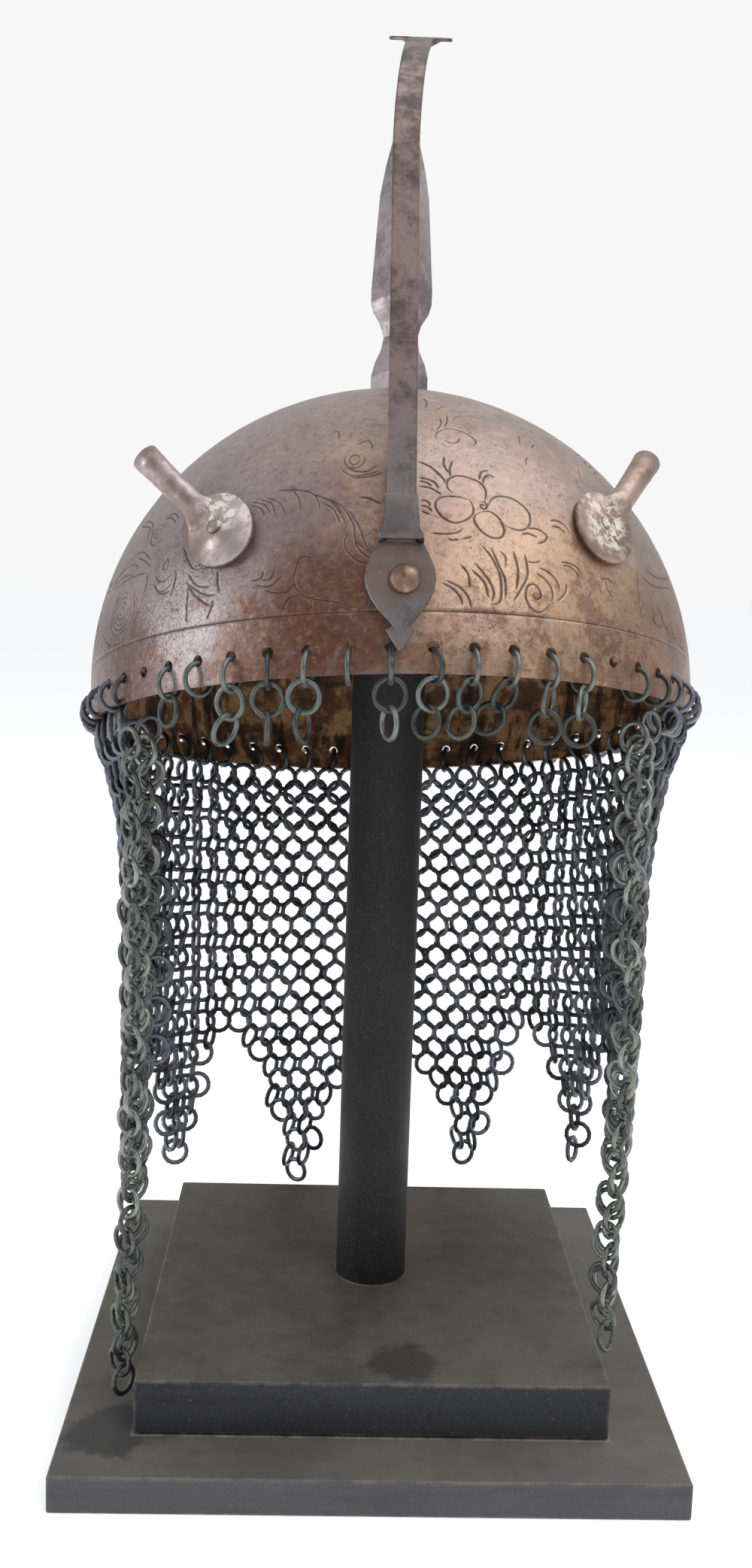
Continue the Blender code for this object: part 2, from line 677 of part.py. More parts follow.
def mail_curtain():
    mesh = bmesh.new()
    first = GAP + 0.0022
    skins = []
    columns = mail_columns()
    for offset in (MAIL_THICKNESS / 2, -MAIL_THICKNESS / 2):
        skin = []
        for azimuth in columns:
            drops = [first + (hem_drop(azimuth) - first) * (row / MAIL_ROWS) for row in range(MAIL_ROWS + 1)]
            skin.append([mesh.verts.new(mail_point(azimuth, drop, offset)) for drop in drops])
        skins.append(skin)
    outer, inner = skins
    for c in range(len(columns) - 1):
        for row in range(MAIL_ROWS):
            for skin in skins:
                mesh.faces.new((skin[c][row], skin[c][row + 1], skin[c + 1][row + 1], skin[c + 1][row]))
        for row in (0, MAIL_ROWS):
            mesh.faces.new((outer[c][row], outer[c + 1][row], inner[c + 1][row], inner[c][row]))
    for c in (0, len(columns) - 1):
        for row in range(MAIL_ROWS):
            mesh.faces.new((outer[c][row], outer[c][row + 1], inner[c][row + 1], inner[c][row]))
    add_object("mail_curtain", mesh, "mail_iron")


def mail_lappet(side):
    rings = []
    for station in LAPPETS[side]:
        ring = []
        for i in range(LAPPET_SIDES):
            angle = 2 * math.pi * i / LAPPET_SIDES
            ring.append((
                station["x"] + station["half_width"] * math.cos(angle),
                station["y"] + station["half_width"] * LAPPET_DEPTH_RATIO * math.sin(angle),
                station["height"],
            ))
        rings.append(ring)
    add_object(f"mail_lappet_{side}", loft(rings), "mail_iron")


def ring_mesh():
    """One mail ring of round wire in the XZ plane, a little longer along Z."""
    mesh = bmesh.new()
    levels = []
    for i in range(RING_SIDES):
        turn = 2 * math.pi * i / RING_SIDES
        out = Vector((math.sin(turn), 0, math.cos(turn)))
        middle = Vector((RING_HALF_WIDTH * math.sin(turn), 0, RING_HALF_LENGTH * math.cos(turn)))
        level = []
        for j in range(WIRE_SIDES):
            round_wire = 2 * math.pi * j / WIRE_SIDES
            offset = out * math.cos(round_wire) + Vector((0, math.sin(round_wire), 0))
            level.append(mesh.verts.new(middle + offset * RING_WIRE))
        levels.append(level)
    for i in range(RING_SIDES):
        here, there = levels[i], levels[(i + 1) % RING_SIDES]
        for j in range(WIRE_SIDES):
            k = (j + 1) % WIRE_SIDES
            mesh.faces.new((here[j], here[k], there[k], there[j]))
    return mesh


def ring_place(centre, hang, face):
    """A frame for a ring: -Z is the way it hangs, and X is its width, face degrees from straight ahead."""
    turn = math.radians(face)
    wide = Vector((math.sin(turn), -math.cos(turn), 0))
    wide = (wide - hang * wide.dot(hang)).normalized()
    normal = (-hang).cross(wide)
    return Matrix.Translation(centre) @ Matrix((wide, normal, -hang)).transposed().to_4x4()


def loose_chain(hole, rings):
    """Rings hanging one in another from a rim hole, the first of them round the rim."""
    wall = helmet_matrix() @ sphere_frame(hole_azimuth(hole), sphere_elevation(0.0))
    down_wall = wall.to_3x3() @ Vector((0, 0, -1))
    contact = wall @ Vector((0, SKULL_WALL / 2, -HOLE_PLAY))
    label = "middle" if hole == 0 else f"{'left' if hole < 0 else 'right'}{abs(hole)}"
    for number, ring in enumerate(rings, start=1):
        lean = math.radians(ring["lean"])
        hang = Vector((math.sin(lean), 0, -math.cos(lean)))
        if number == 1:
            hang = (hang + down_wall).normalized()
            centre = contact + hang * RING_HALF_LENGTH
        else:
            centre = contact + hang * (RING_HALF_LENGTH - 2 * RING_WIRE - RING_PLAY)
        add_object(f"rim_ring_{label}_{number}", ring_mesh(), "loose_ring_iron", None,
                   ring_place(centre, hang, ring["face"]))
        contact = centre + hang * RING_HALF_LENGTH


# ---- the stand


def stand():
    half = BASE_SIZE / 2
    base = add_object("stand_base", box((-half, -half, 0), (half, half, BASE_HEIGHT)), "black_wood")
    bevel(base, BOARD_BEVEL)
    half = PLINTH_SIZE / 2
    low = BASE_HEIGHT + GAP
    plinth_top = BASE_HEIGHT + PLINTH_HEIGHT
    plinth = add_object("stand_plinth", box((PLINTH_SHIFT - half, -half, low),
                                            (PLINTH_SHIFT + half, half, plinth_top)), "black_wood")
    bevel(plinth, BOARD_BEVEL)
    foot = plinth_top + GAP
    top = post_top()
    mesh = bmesh.new()
    bmesh.ops.create_cone(mesh, cap_ends=True, segments=POST_SIDES, radius1=POST_RADIUS,
                          radius2=POST_RADIUS, depth=top - foot,
                          matrix=Matrix.Translation((*POST_CENTRE, (top + foot) / 2)))
    add_object("stand_post", mesh, "black_wood")


def post_top():
    """Where the bowl's inside rests on the post's edge, less the gap that meshes keep."""
    centre = helmet_matrix() @ Vector((0, 0, SPHERE_HEIGHT))
    inner = (SKULL_RADIUS - SKULL_WALL) * math.cos(math.radians(4.0))
    off_axis = math.hypot(centre.x - POST_CENTRE[0], centre.y - POST_CENTRE[1])
    return centre.z + math.sqrt(inner ** 2 - (POST_RADIUS + off_axis) ** 2) - GAP


def main():
    clear_scene()
    helmet = add_empty("helmet_axis", helmet_matrix())
    clearance = bowl_clearance(helmet, "bowl_clearance")
    skull(helmet)
    spike(helmet, clearance)
    nasal(helmet, clearance)
    for holder in PLUME_HOLDERS:
        plume_holder(helmet, clearance, **holder)
    mail_curtain()
    for side in LAPPETS:
        mail_lappet(side)
    for chain in LOOSE_CHAINS:
        loose_chain(**chain)
    stand()


main()
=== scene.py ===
"""The looks of a kulah khud on its stepped wooden stand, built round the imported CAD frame.

Metres, +Z up, the face side towards -Y. An azimuth is counted in degrees round the bowl from the face side
towards +X, and an elevation in degrees above the middle of the bowl's sphere.
"""

import sys
import json
import logging
import math
import random
from dataclasses import dataclass, field
from enum import Enum
from typing import Iterable, NamedTuple, Optional, Sequence, Union

import bmesh
import bpy
from mathutils import Matrix, Vector
from mathutils.geometry import intersect_point_line
from mathutils.kdtree import KDTree

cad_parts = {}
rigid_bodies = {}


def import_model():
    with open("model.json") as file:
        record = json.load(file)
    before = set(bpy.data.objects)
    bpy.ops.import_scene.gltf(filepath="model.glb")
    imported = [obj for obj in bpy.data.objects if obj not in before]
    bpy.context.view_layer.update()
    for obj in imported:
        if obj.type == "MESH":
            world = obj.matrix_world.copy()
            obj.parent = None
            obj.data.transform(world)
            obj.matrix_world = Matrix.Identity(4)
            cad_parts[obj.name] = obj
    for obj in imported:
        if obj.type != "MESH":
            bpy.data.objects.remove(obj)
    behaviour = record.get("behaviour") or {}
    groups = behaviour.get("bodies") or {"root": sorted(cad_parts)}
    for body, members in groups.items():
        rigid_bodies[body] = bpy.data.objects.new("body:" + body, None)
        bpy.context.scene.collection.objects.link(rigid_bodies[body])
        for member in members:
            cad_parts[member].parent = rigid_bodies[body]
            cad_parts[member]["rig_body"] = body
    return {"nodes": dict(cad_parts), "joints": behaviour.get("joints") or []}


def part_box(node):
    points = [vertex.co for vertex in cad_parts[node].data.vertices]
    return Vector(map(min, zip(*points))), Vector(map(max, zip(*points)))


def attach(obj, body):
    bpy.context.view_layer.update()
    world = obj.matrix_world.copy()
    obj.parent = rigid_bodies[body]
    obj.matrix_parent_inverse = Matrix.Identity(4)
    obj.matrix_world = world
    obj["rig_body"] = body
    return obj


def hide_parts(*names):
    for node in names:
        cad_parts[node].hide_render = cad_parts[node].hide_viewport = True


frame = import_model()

LOG = logging.getLogger("kulah_khud")
FIXED_BODY = "helmet_on_stand"
HELMET = (Matrix.Translation((0.0018, 0.0, 0.2388)) @ Matrix.Rotation(math.radians(-15.5), 4, "X")
          @ Matrix.Rotation(math.radians(-1.8), 4, "Y"))
SPHERE_HEIGHT = 0.0062
SPHERE_CENTRE = HELMET @ Vector((0.0, 0.0, SPHERE_HEIGHT))
SPHERE = HELMET @ Matrix.Translation((0.0, 0.0, SPHERE_HEIGHT))
BOWL_RADIUS = 0.1026
BOWL_WALL = 0.0013
RIM_HEIGHT = -0.0075
HOLE_COUNT = 54
HOLE_START = -2.35
HOLE_RADIUS = 0.00175
EDGE_RUB = (0.0003, 0.0013)
WIDEST_POST = 0.03
UP = Vector((0.0, 0.0, 1.0))
FULL_TURN = 2 * math.pi

Colour = tuple[float, float, float]
Socket = bpy.types.NodeSocket
Value = Union[float, Colour, Socket]
Spot = tuple[float, float]


# ---- small tools for shaping


def outward(azimuth: float) -> Vector:
    """The level direction away from the bowl's middle at an azimuth in degrees."""
    turn = math.radians(azimuth)
    return Vector((math.sin(turn), -math.cos(turn), 0.0))


def on_bowl(azimuth: float, elevation: float, radius: float = BOWL_RADIUS) -> Vector:
    """A place on the bowl in the row frame.

    Args:
        azimuth: Degrees round the bowl from the face side.
        elevation: Degrees above the middle of the sphere.
        radius: How far from that middle.

    Returns:
        The point, in metres.
    """
    tall = math.radians(elevation)
    out = outward(azimuth) * math.cos(tall) + Vector((0.0, 0.0, math.sin(tall)))
    return HELMET @ (Vector((0.0, 0.0, SPHERE_HEIGHT)) + radius * out)


def hole_place(index: int) -> Vector:
    """The middle of a rim hole on the bowl's outside, in the row frame."""
    level = math.degrees(math.asin(-SPHERE_HEIGHT / BOWL_RADIUS))
    return on_bowl(HOLE_START + index * 360.0 / HOLE_COUNT, level)


def smooth_share(value: float, low: float, high: float) -> float:
    """0 up to low, 1 from high, and an even ease between them."""
    share = min(1.0, max(0.0, (value - low) / (high - low)))
    return share * share * (3.0 - 2.0 * share)


def between(value: float, stations: Sequence[tuple[float, ...]]) -> tuple[float, ...]:
    """The row of a table at a value of its first column, along straight lines between rows.

    Args:
        value: Where to read the table.
        stations: Rows that rise or fall steadily in their first column.

    Returns:
        The row's other columns at that value.
    """
    rows = sorted(stations)
    if value <= rows[0][0]:
        return tuple(rows[0][1:])
    for low, high in zip(rows, rows[1:]):
        if value <= high[0]:
            share = (value - low[0]) / (high[0] - low[0])
            return tuple(a + share * (b - a) for a, b in zip(low[1:], high[1:]))
    return tuple(rows[-1][1:])


def jitter(rng: random.Random, most: float) -> float:
    """A random value up to this far either way."""
    return rng.uniform(-most, most)


def tree_of(places: Sequence[Vector]) -> KDTree:
    """A tree that finds the nearest of these places.

    Args:
        places: The places, whose numbers the tree gives back.

    Returns:
        The tree, ready to search.
    """
    tree = KDTree(len(places))
    for index, place in enumerate(places):
        tree.insert(place, index)
    tree.balance()
    return tree


def select_only(*objects: bpy.types.Object) -> None:
    """Selects these objects and no others, and makes the first one active.

    Args:
        objects: The objects to select. With none given, nothing is selected.
    """
    if bpy.context.mode != "OBJECT":
        bpy.ops.object.mode_set(mode="OBJECT")
    bpy.ops.object.select_all(action="DESELECT")
    for obj in objects:
        obj.select_set(True)
    if objects:
        bpy.context.view_layer.objects.active = objects[0]


def settle(obj: bpy.types.Object) -> bpy.types.Object:
    """Puts an object's place into its mesh, so that the object itself sits at the origin.

    Args:
        obj: The object to settle.

    Returns:
        The same object.
    """
    select_only(obj)
    bpy.ops.object.transform_apply(location=True, rotation=True, scale=True)
    return obj


def copies(template: bpy.types.Object, places: Iterable[Matrix], name: str,
           rng: random.Random) -> bpy.types.Object:
    """Copies one modelled shape to many places and joins the copies.

    Args:
        template: The shape, modelled round the origin. It stays in the file until it is removed.
        places: One matrix for each copy.
        name: The joined piece's name.
        rng: Gives each copy its own "shade" from 0 to 1, for the finish to read.

    Returns:
        The joined piece, which sits at the origin.
    """
    made = []
    for place in places:
        mesh = template.data.copy()
        mesh.transform(place)
        shade = mesh.attributes.new("shade", "FLOAT", "POINT")
        shade.data.foreach_set("value", [rng.random()] * len(mesh.vertices))
        copy = bpy.data.objects.new(name, mesh)
        bpy.context.collection.objects.link(copy)
        made.append(copy)
    select_only(*made)
    bpy.ops.object.join()
    piece = bpy.context.view_layer.objects.active
    piece.name = name
    return piece


def discard(obj: bpy.types.Object) -> None:
    """Removes a template that has been copied."""
    bpy.data.objects.remove(obj, do_unlink=True)


# ---- finishes


class Recipe:
    """One finish's node tree, written a node at a time."""

    PATCH_RAGGED = 0.9
    BALL_RAGGED = 2.2

    def __init__(self, name: str) -> None:
        """Starts a material with its shader and its object coordinates.

        Args:
            name: The material's name.
        """
        self.material = bpy.data.materials.new(name)
        self.material.use_nodes = True
        self.tree = self.material.node_tree
        self.shader = self.tree.nodes["Principled BSDF"]
        self.place = self.add("ShaderNodeTexCoord").outputs["Object"]

    def add(self, kind: str, **settings: object) -> bpy.types.Node:
        """Adds a node and sets its own properties.

        Args:
            kind: The node's type.
            settings: Values for the node's own options.

        Returns:
            The new node.
        """
        node = self.tree.nodes.new(kind)
        for name, value in settings.items():
            setattr(node, name, value)
        return node

    def feed(self, socket: Socket, value: Value) -> None:
        """Links a socket to another, or sets it to a number or a colour.

        Args:
            socket: The input to fill.
            value: Another node's output to link, or a number or colour to set.
        """
        if isinstance(value, bpy.types.NodeSocket):
            self.tree.links.new(value, socket)
        elif isinstance(value, tuple) and socket.type == "RGBA":
            socket.default_value = (*value, 1.0)
        else:
            socket.default_value = value

    def attribute(self, name: str) -> Socket:
        """A number that the mesh holds at each point."""
        return self.add("ShaderNodeAttribute", attribute_name=name).outputs["Fac"]

    def math(self, operation: str, first: Value, second: Value = 0.0, clamp: bool = False) -> Socket:
        """Any operation of the Math node, on two numbers.

        Args:
            operation: What to work out.
            first: The first input.
            second: The second input, where it takes two.
            clamp: Whether to keep the result between 0 and 1.

        Returns:
            The result.
        """
        node = self.add("ShaderNodeMath", operation=operation, use_clamp=clamp)
        self.feed(node.inputs[0], first)
        self.feed(node.inputs[1], second)
        return node.outputs[0]

    def times(self, first: Value, second: Value) -> Socket:
        """One number times another."""
        return self.math("MULTIPLY", first, second)

    def plus(self, first: Value, second: Value, clamp: bool = False) -> Socket:
        """The sum of two numbers, kept between 0 and 1 if asked."""
        return self.math("ADD", first, second, clamp)

    def minus(self, first: Value, second: Value) -> Socket:
        """One number less another."""
        return self.math("SUBTRACT", first, second)

    def ease(self, value: Socket, low: float, high: float, start: float = 0.0, end: float = 1.0) -> Socket:
        """Turns low..high of a value into start..end, with soft ends.

        Args:
            value: What to carry over.
            low: Where the slope begins.
            high: Where it ends.
            start: The result up to low.
            end: The result from high on.

        Returns:
            The eased value.
        """
        node = self.add("ShaderNodeMapRange", interpolation_type="SMOOTHSTEP")
        for index, part in enumerate((value, low, high, start, end)):
            self.feed(node.inputs[index], part)
        return node.outputs[0]

    def noise(self, scale: float, detail: float = 4.0, rough: float = 0.55,
              stretch: Colour = (1.0, 1.0, 1.0), shift: Colour = (0.0, 0.0, 0.0)) -> Socket:
        """Cloudy noise in object space.

        Args:
            scale: Clouds to the metre.
            detail: How many finer layers lie over it.
            rough: How strong the finer layers are.
            stretch: How much closer the clouds are along each axis.
            shift: Moves the pattern, so that two layers differ.

        Returns:
            The noise, about 0.5 on average.
        """
        mapping = self.add("ShaderNodeMapping")
        self.feed(mapping.inputs["Vector"], self.place)
        mapping.inputs["Scale"].default_value = stretch
        mapping.inputs["Location"].default_value = shift
        node = self.add("ShaderNodeTexNoise")
        self.feed(node.inputs["Vector"], mapping.outputs[0])
        node.inputs["Scale"].default_value = scale
        node.inputs["Detail"].default_value = detail
        node.inputs["Roughness"].default_value = rough
        return node.outputs["Fac"]

    def specks(self, scale: float, size: float, soft: float = 0.12) -> Socket:
        """Scattered round specks: 1 in the middle of each, and 0 between them.

        Args:
            scale: How many cells there are to a metre.
            size: A speck's radius, as a share of a cell.
            soft: How far its edge takes to fade, as a share of a cell.

        Returns:
            A mask, 1 in each speck.
        """
        node = self.add("ShaderNodeTexVoronoi")
        self.feed(node.inputs["Vector"], self.place)
        node.inputs["Scale"].default_value = scale
        return self.ease(node.outputs["Distance"], size, size + soft, 1.0, 0.0)

    def patch(self, centre: Vector, direction: Vector, wide: float, soft: float,
              ragged: Optional[Socket] = None) -> Socket:
        """A round patch seen from a middle point: 1 within wide degrees of a direction, 0 past wide + soft.

        Args:
            centre: The point that directions are taken from.
            direction: Where the patch's middle lies from there.
            wide: Half the patch's width, in degrees.
            soft: How far it takes to fade, in degrees.
            ragged: Noise that breaks up its edge.

        Returns:
            The patch's mask.
        """
        away = self.add("ShaderNodeVectorMath", operation="SUBTRACT")
        self.feed(away.inputs[0], self.place)
        away.inputs[1].default_value = centre
        unit = self.add("ShaderNodeVectorMath", operation="NORMALIZE")
        self.feed(unit.inputs[0], away.outputs[0])
        dot = self.add("ShaderNodeVectorMath", operation="DOT_PRODUCT")
        self.feed(dot.inputs[0], unit.outputs[0])
        dot.inputs[1].default_value = direction.normalized()
        angle = self.math("ARCCOSINE", dot.outputs["Value"])
        if ragged is not None:
            most = math.radians(wide + soft) * self.PATCH_RAGGED
            angle = self.plus(angle, self.times(self.minus(ragged, 0.5), most))
        return self.ease(angle, math.radians(wide), math.radians(wide + soft), 1.0, 0.0)

    def near(self, centre: Sequence[float], reach: float, soft: float,
             ragged: Optional[Socket] = None) -> Socket:
        """A ball round a point: 1 within reach of it, 0 past reach + soft, with a ragged edge if asked.

        Args:
            centre: The ball's middle.
            reach: Its radius in metres.
            soft: How far it takes to fade, in metres.
            ragged: Noise that breaks up its edge.

        Returns:
            The ball's mask.
        """
        gap = self.add("ShaderNodeVectorMath", operation="DISTANCE")
        self.feed(gap.inputs[0], self.place)
        gap.inputs[1].default_value = tuple(centre)
        away = gap.outputs["Value"]
        if ragged is not None:
            away = self.plus(away, self.times(self.minus(ragged, 0.5), self.BALL_RAGGED * reach))
        return self.ease(away, reach, reach + soft, 1.0, 0.0)

    def height(self) -> Socket:
        """The object space z.

        Returns:
            The height in metres.
        """
        node = self.add("ShaderNodeSeparateXYZ")
        self.feed(node.inputs[0], self.place)
        return node.outputs["Z"]

    def blend(self, share: Value, first: Value, second: Value) -> Socket:
        """A colour between two, by a share from 0 to 1.

        Args:
            share: How much of the second colour there is.
            first: The colour at 0.
            second: The colour at 1.

        Returns:
            The mixed colour.
        """
        node = self.add("ShaderNodeMix", data_type="RGBA", clamp_factor=True)
        self.feed(node.inputs["Factor"], share)
        self.feed(node.inputs[6], first)
        self.feed(node.inputs[7], second)
        return node.outputs[2]

    def wash(self, colour: Value, mask: Socket, low: float, high: float, most: float, tone: Colour) -> Socket:
        """Lays a tone over a colour where a mask goes from low to high.

        Args:
            colour: What lies under it.
            mask: Noise or another mask.
            low: Where the tone starts.
            high: Where it is fullest.
            most: Its share there.
            tone: The tone.

        Returns:
            The colour with the tone over it.
        """
        return self.blend(self.ease(mask, low, high, 0.0, most), colour, tone)

    def bump(self, height: Socket, distance: float, strength: float) -> Socket:
        """A normal raised by a height field of so many metres.

        Args:
            height: The relief, from 0 to 1.
            distance: How deep it is, in metres.
            strength: How much of it shows.

        Returns:
            The bent normal.
        """
        node = self.add("ShaderNodeBump")
        node.inputs["Distance"].default_value = distance
        node.inputs["Strength"].default_value = strength
        self.feed(node.inputs["Height"], height)
        return node.outputs[0]

    def finish(self, **sockets: Value) -> bpy.types.Material:
        """Feeds the shader's sockets, named with _ for each space, and gives back the material.

        Args:
            sockets: A value for each socket.

        Returns:
            The material.
        """
        for name, value in sockets.items():
            self.feed(self.shader.inputs[name.replace("_", " ").title().replace("Ior", "IOR")], value)
        return self.material


def paint(red: int, green: int, blue: int) -> Colour:
    """A colour as seen on a screen, 0 to 255 a channel, as the linear numbers that a shader takes."""
    parts = [c / 255.0 for c in (red, green, blue)]
    return tuple(c / 12.92 if c <= 0.04045 else ((c + 0.055) / 1.055) ** 2.4 for c in parts)


class TonePatch(NamedTuple):
    """A ragged patch of another tone on the bowl, real stain and painted light alike: its middle, its size in
    degrees, its strength and tone.
    """

    azimuth: float
    elevation: float
    wide: float
    soft: float
    strength: float
    tone: Colour

    def mask(self, make: Recipe, ragged: Socket) -> Socket:
        """The patch, as a share up to its strength."""
        towards = on_bowl(self.azimuth, self.elevation) - SPHERE_CENTRE
        return make.times(make.patch(SPHERE_CENTRE, towards, self.wide, self.soft, ragged), self.strength)


@dataclass(frozen=True)
class BowlSteel:
    """The bowl's outside: brown steel, lighter towards the crown and redder low in front, golden on one side
    and grey on the other; the crown's lightness and the golden and grey patches are partly painted light, and
    a pale patch on the left is a painted window highlight.
    """

    # upper is lighter than lower: partly the steel's tone, partly painted light from above
    upper: Colour = paint(154, 132, 120)
    lower: Colour = paint(146, 121, 109)
    red: Colour = paint(112, 68, 48)
    brown: Colour = paint(150, 112, 84)
    # gold: a golden tone of the steel; in the patches at 18 and 34 degrees it is also a painted highlight
    gold: Colour = paint(190, 155, 124)
    # painted highlight: the pale reflection of the left window on the band, with a little wear
    wear_and_highlight: Colour = paint(176, 172, 176)
    violet: Colour = paint(138, 120, 120)
    tan: Colour = paint(190, 161, 142)
    # ash: grey-lilac, partly the steel's tone and partly painted bluish sheen on the left side
    ash: Colour = paint(146, 134, 137)
    shade: Colour = paint(112, 86, 74)
    umber: Colour = paint(86, 56, 48)
    line: Colour = paint(46, 32, 28)
    pit: Colour = paint(58, 40, 34)
    # Stains of the steel, with painted highlights and sheen among them, as marked below.
    stains: tuple[TonePatch, ...] = (
        # the two ash patches on the left are partly the steel's grey and partly painted bluish sheen
        TonePatch(-58.0, 18.0, 20.0, 30.0, 0.60, ash), TonePatch(-32.0, 12.0, 12.0, 16.0, 0.62, ash),
        TonePatch(-11.0, 17.0, 6.0, 13.0, 0.34, red), TonePatch(-11.0, 3.0, 8.0, 7.0, 0.80, red),
        TonePatch(-22.0, -3.0, 7.0, 6.0, 0.60, red), TonePatch(-53.0, -1.0, 5.0, 6.0, 0.70, umber),
        # the gold patches at 18 and 34 degrees are partly the steel's golden stain and partly a painted
        # highlight
        TonePatch(-68.0, -4.0, 9.0, 9.0, 0.50, umber), TonePatch(18.0, 3.0, 10.0, 14.0, 0.50, gold),
        TonePatch(34.0, 3.0, 11.0, 12.0, 0.68, gold), TonePatch(54.0, -1.0, 8.0, 12.0, 0.65, brown),
        # painted highlight: the left window's reflection on the band, with a little wear
        TonePatch(-40.0, 4.0, 5.0, 8.0, 0.35, wear_and_highlight))
    chased: tuple[TonePatch, ...] = (TonePatch(-42.0, 6.0, 7.0, 9.0, 1.0, pit), TonePatch(41.0, 5.0, 6.0, 8.0, 0.8, pit))
    crown_patch: Spot = (58.0, 32.0)
    above_band: Spot = (84.0, 6.0)
    metallic: float = 0.74
    roughness: float = 0.42
    coat: float = 0.35
    coat_roughness: float = 0.24
    relief: float = 0.00032

    def material(self) -> bpy.types.Material:
        """Builds the finish: tones from the crown down, then stains and painted highlights and sheen, pits
        and the engraving's dark lines.

        Returns:
            The material.
        """
        make = Recipe("bowl_steel")
        clouds = make.noise(24.0, 6.0, 0.62)
        mottle = make.noise(95.0, 7.0, 0.68, shift=(3.0, 1.0, 2.0))
        fine = make.noise(420.0, 5.0, 0.7, shift=(1.0, 8.0, 3.0))
        ragged = make.noise(60.0, 7.0, 0.68, shift=(7.0, 2.0, 5.0))
        crown = HELMET.to_3x3() @ UP
        # Lighter towards the crown: partly the steel's tone, partly painted light from above.
        high = make.patch(SPHERE_CENTRE, crown, *self.crown_patch, clouds)
        colour = make.blend(high, self.lower, self.upper)
        colour = make.wash(colour, clouds, 0.50, 0.66, 0.28, self.violet)
        colour = make.wash(colour, mottle, 0.52, 0.66, 0.55, self.tan)
        # Each patch in turn: the steel's stains, and the painted highlights and sheen among them.
        for stain in self.stains:
            colour = make.blend(stain.mask(make, ragged), colour, stain.tone)
        band = make.minus(1.0, make.patch(SPHERE_CENTRE, crown, *self.above_band, ragged))
        colour = make.blend(make.times(band, make.ease(mottle, 0.49, 0.57, 0.0, 0.62)), colour, self.red)
        colour = make.blend(make.times(band, make.ease(clouds, 0.54, 0.62, 0.0, 0.24)), colour, self.line)
        colour = make.wash(colour, mottle, 0.48, 0.34, 0.42, self.shade)
        dapple = make.noise(210.0, 6.0, 0.72, shift=(8.0, 5.0, 1.0))
        colour = make.wash(colour, dapple, 0.52, 0.62, 0.34, self.ash)
        colour = make.wash(colour, dapple, 0.47, 0.38, 0.30, self.brown)
        colour = make.wash(colour, fine, 0.52, 0.66, 0.38, self.pit)
        colour = make.wash(colour, fine, 0.46, 0.32, 0.36, self.tan)
        grit = make.noise(1300.0, 4.0, 0.72, shift=(4.0, 4.0, 9.0))
        pits = make.times(make.ease(grit, 0.58, 0.68), make.ease(ragged, 0.46, 0.62, 0.10, 1.0))
        colour = make.blend(make.times(pits, 0.75), colour, self.pit)
        flecks = make.times(make.ease(grit, 0.44, 0.34), make.ease(clouds, 0.40, 0.56))
        colour = make.blend(make.times(flecks, 0.45), colour, self.gold)
        carved = make.attribute("engraving")
        colour = make.blend(make.times(carved, 0.72), colour, self.line)
        rough = make.ease(mottle, 0.3, 0.7, self.roughness - 0.08, self.roughness + 0.10)
        rough = make.plus(rough, make.times(carved, 0.2))
        chased = make.math("MAXIMUM", *(spot.mask(make, ragged) for spot in self.chased))
        beaten = make.times(make.noise(620.0, 3.0, 0.6, shift=(6.0, 2.0, 7.0)), chased)
        colour = make.blend(make.times(chased, make.ease(grit, 0.50, 0.62, 0.0, 0.5)), colour, self.pit)
        grain = make.minus(make.plus(make.times(fine, 0.6), make.times(mottle, 0.9)), make.times(pits, 0.35))
        grain = make.plus(grain, make.times(beaten, 1.4))
        return make.finish(base_color=colour, metallic=self.metallic, roughness=rough, coat_weight=self.coat,
                           coat_roughness=self.coat_roughness, normal=make.bump(grain, self.relief, 0.85))


@dataclass(frozen=True)
class BowlInside:
    """The bowl's inside: rust brown, with gold stains and dark streaks."""

    brown: Colour = paint(104, 70, 50)
    gold: Colour = paint(190, 148, 106)
    dark: Colour = paint(34, 26, 22)
    metallic: float = 0.35
    roughness: float = 0.6
    relief: float = 0.0002

    def material(self) -> bpy.types.Material:
        """Builds the finish.

        Returns:
            The material.
        """
        make = Recipe("bowl_inside")
        clouds = make.noise(70.0, 8.0, 0.7)
        fine = make.noise(420.0, 5.0, 0.65, shift=(1.0, 4.0, 2.0))
        streaks = make.noise(150.0, 6.0, 0.68, stretch=(1.0, 1.0, 0.22), shift=(5.0, 5.0, 0.0))
        bands = make.noise(110.0, 4.0, 0.6, stretch=(0.25, 0.25, 1.6), shift=(2.0, 3.0, 4.0))
        colour = make.wash(self.brown, clouds, 0.44, 0.58, 1.0, self.gold)
        colour = make.wash(colour, streaks, 0.48, 0.60, 0.92, self.dark)
        colour = make.wash(colour, bands, 0.54, 0.66, 0.7, self.dark)
        colour = make.wash(colour, fine, 0.55, 0.72, 0.5, self.dark)
        return make.finish(base_color=colour, metallic=self.metallic, roughness=self.roughness,
                           normal=make.bump(fine, self.relief, 0.7))


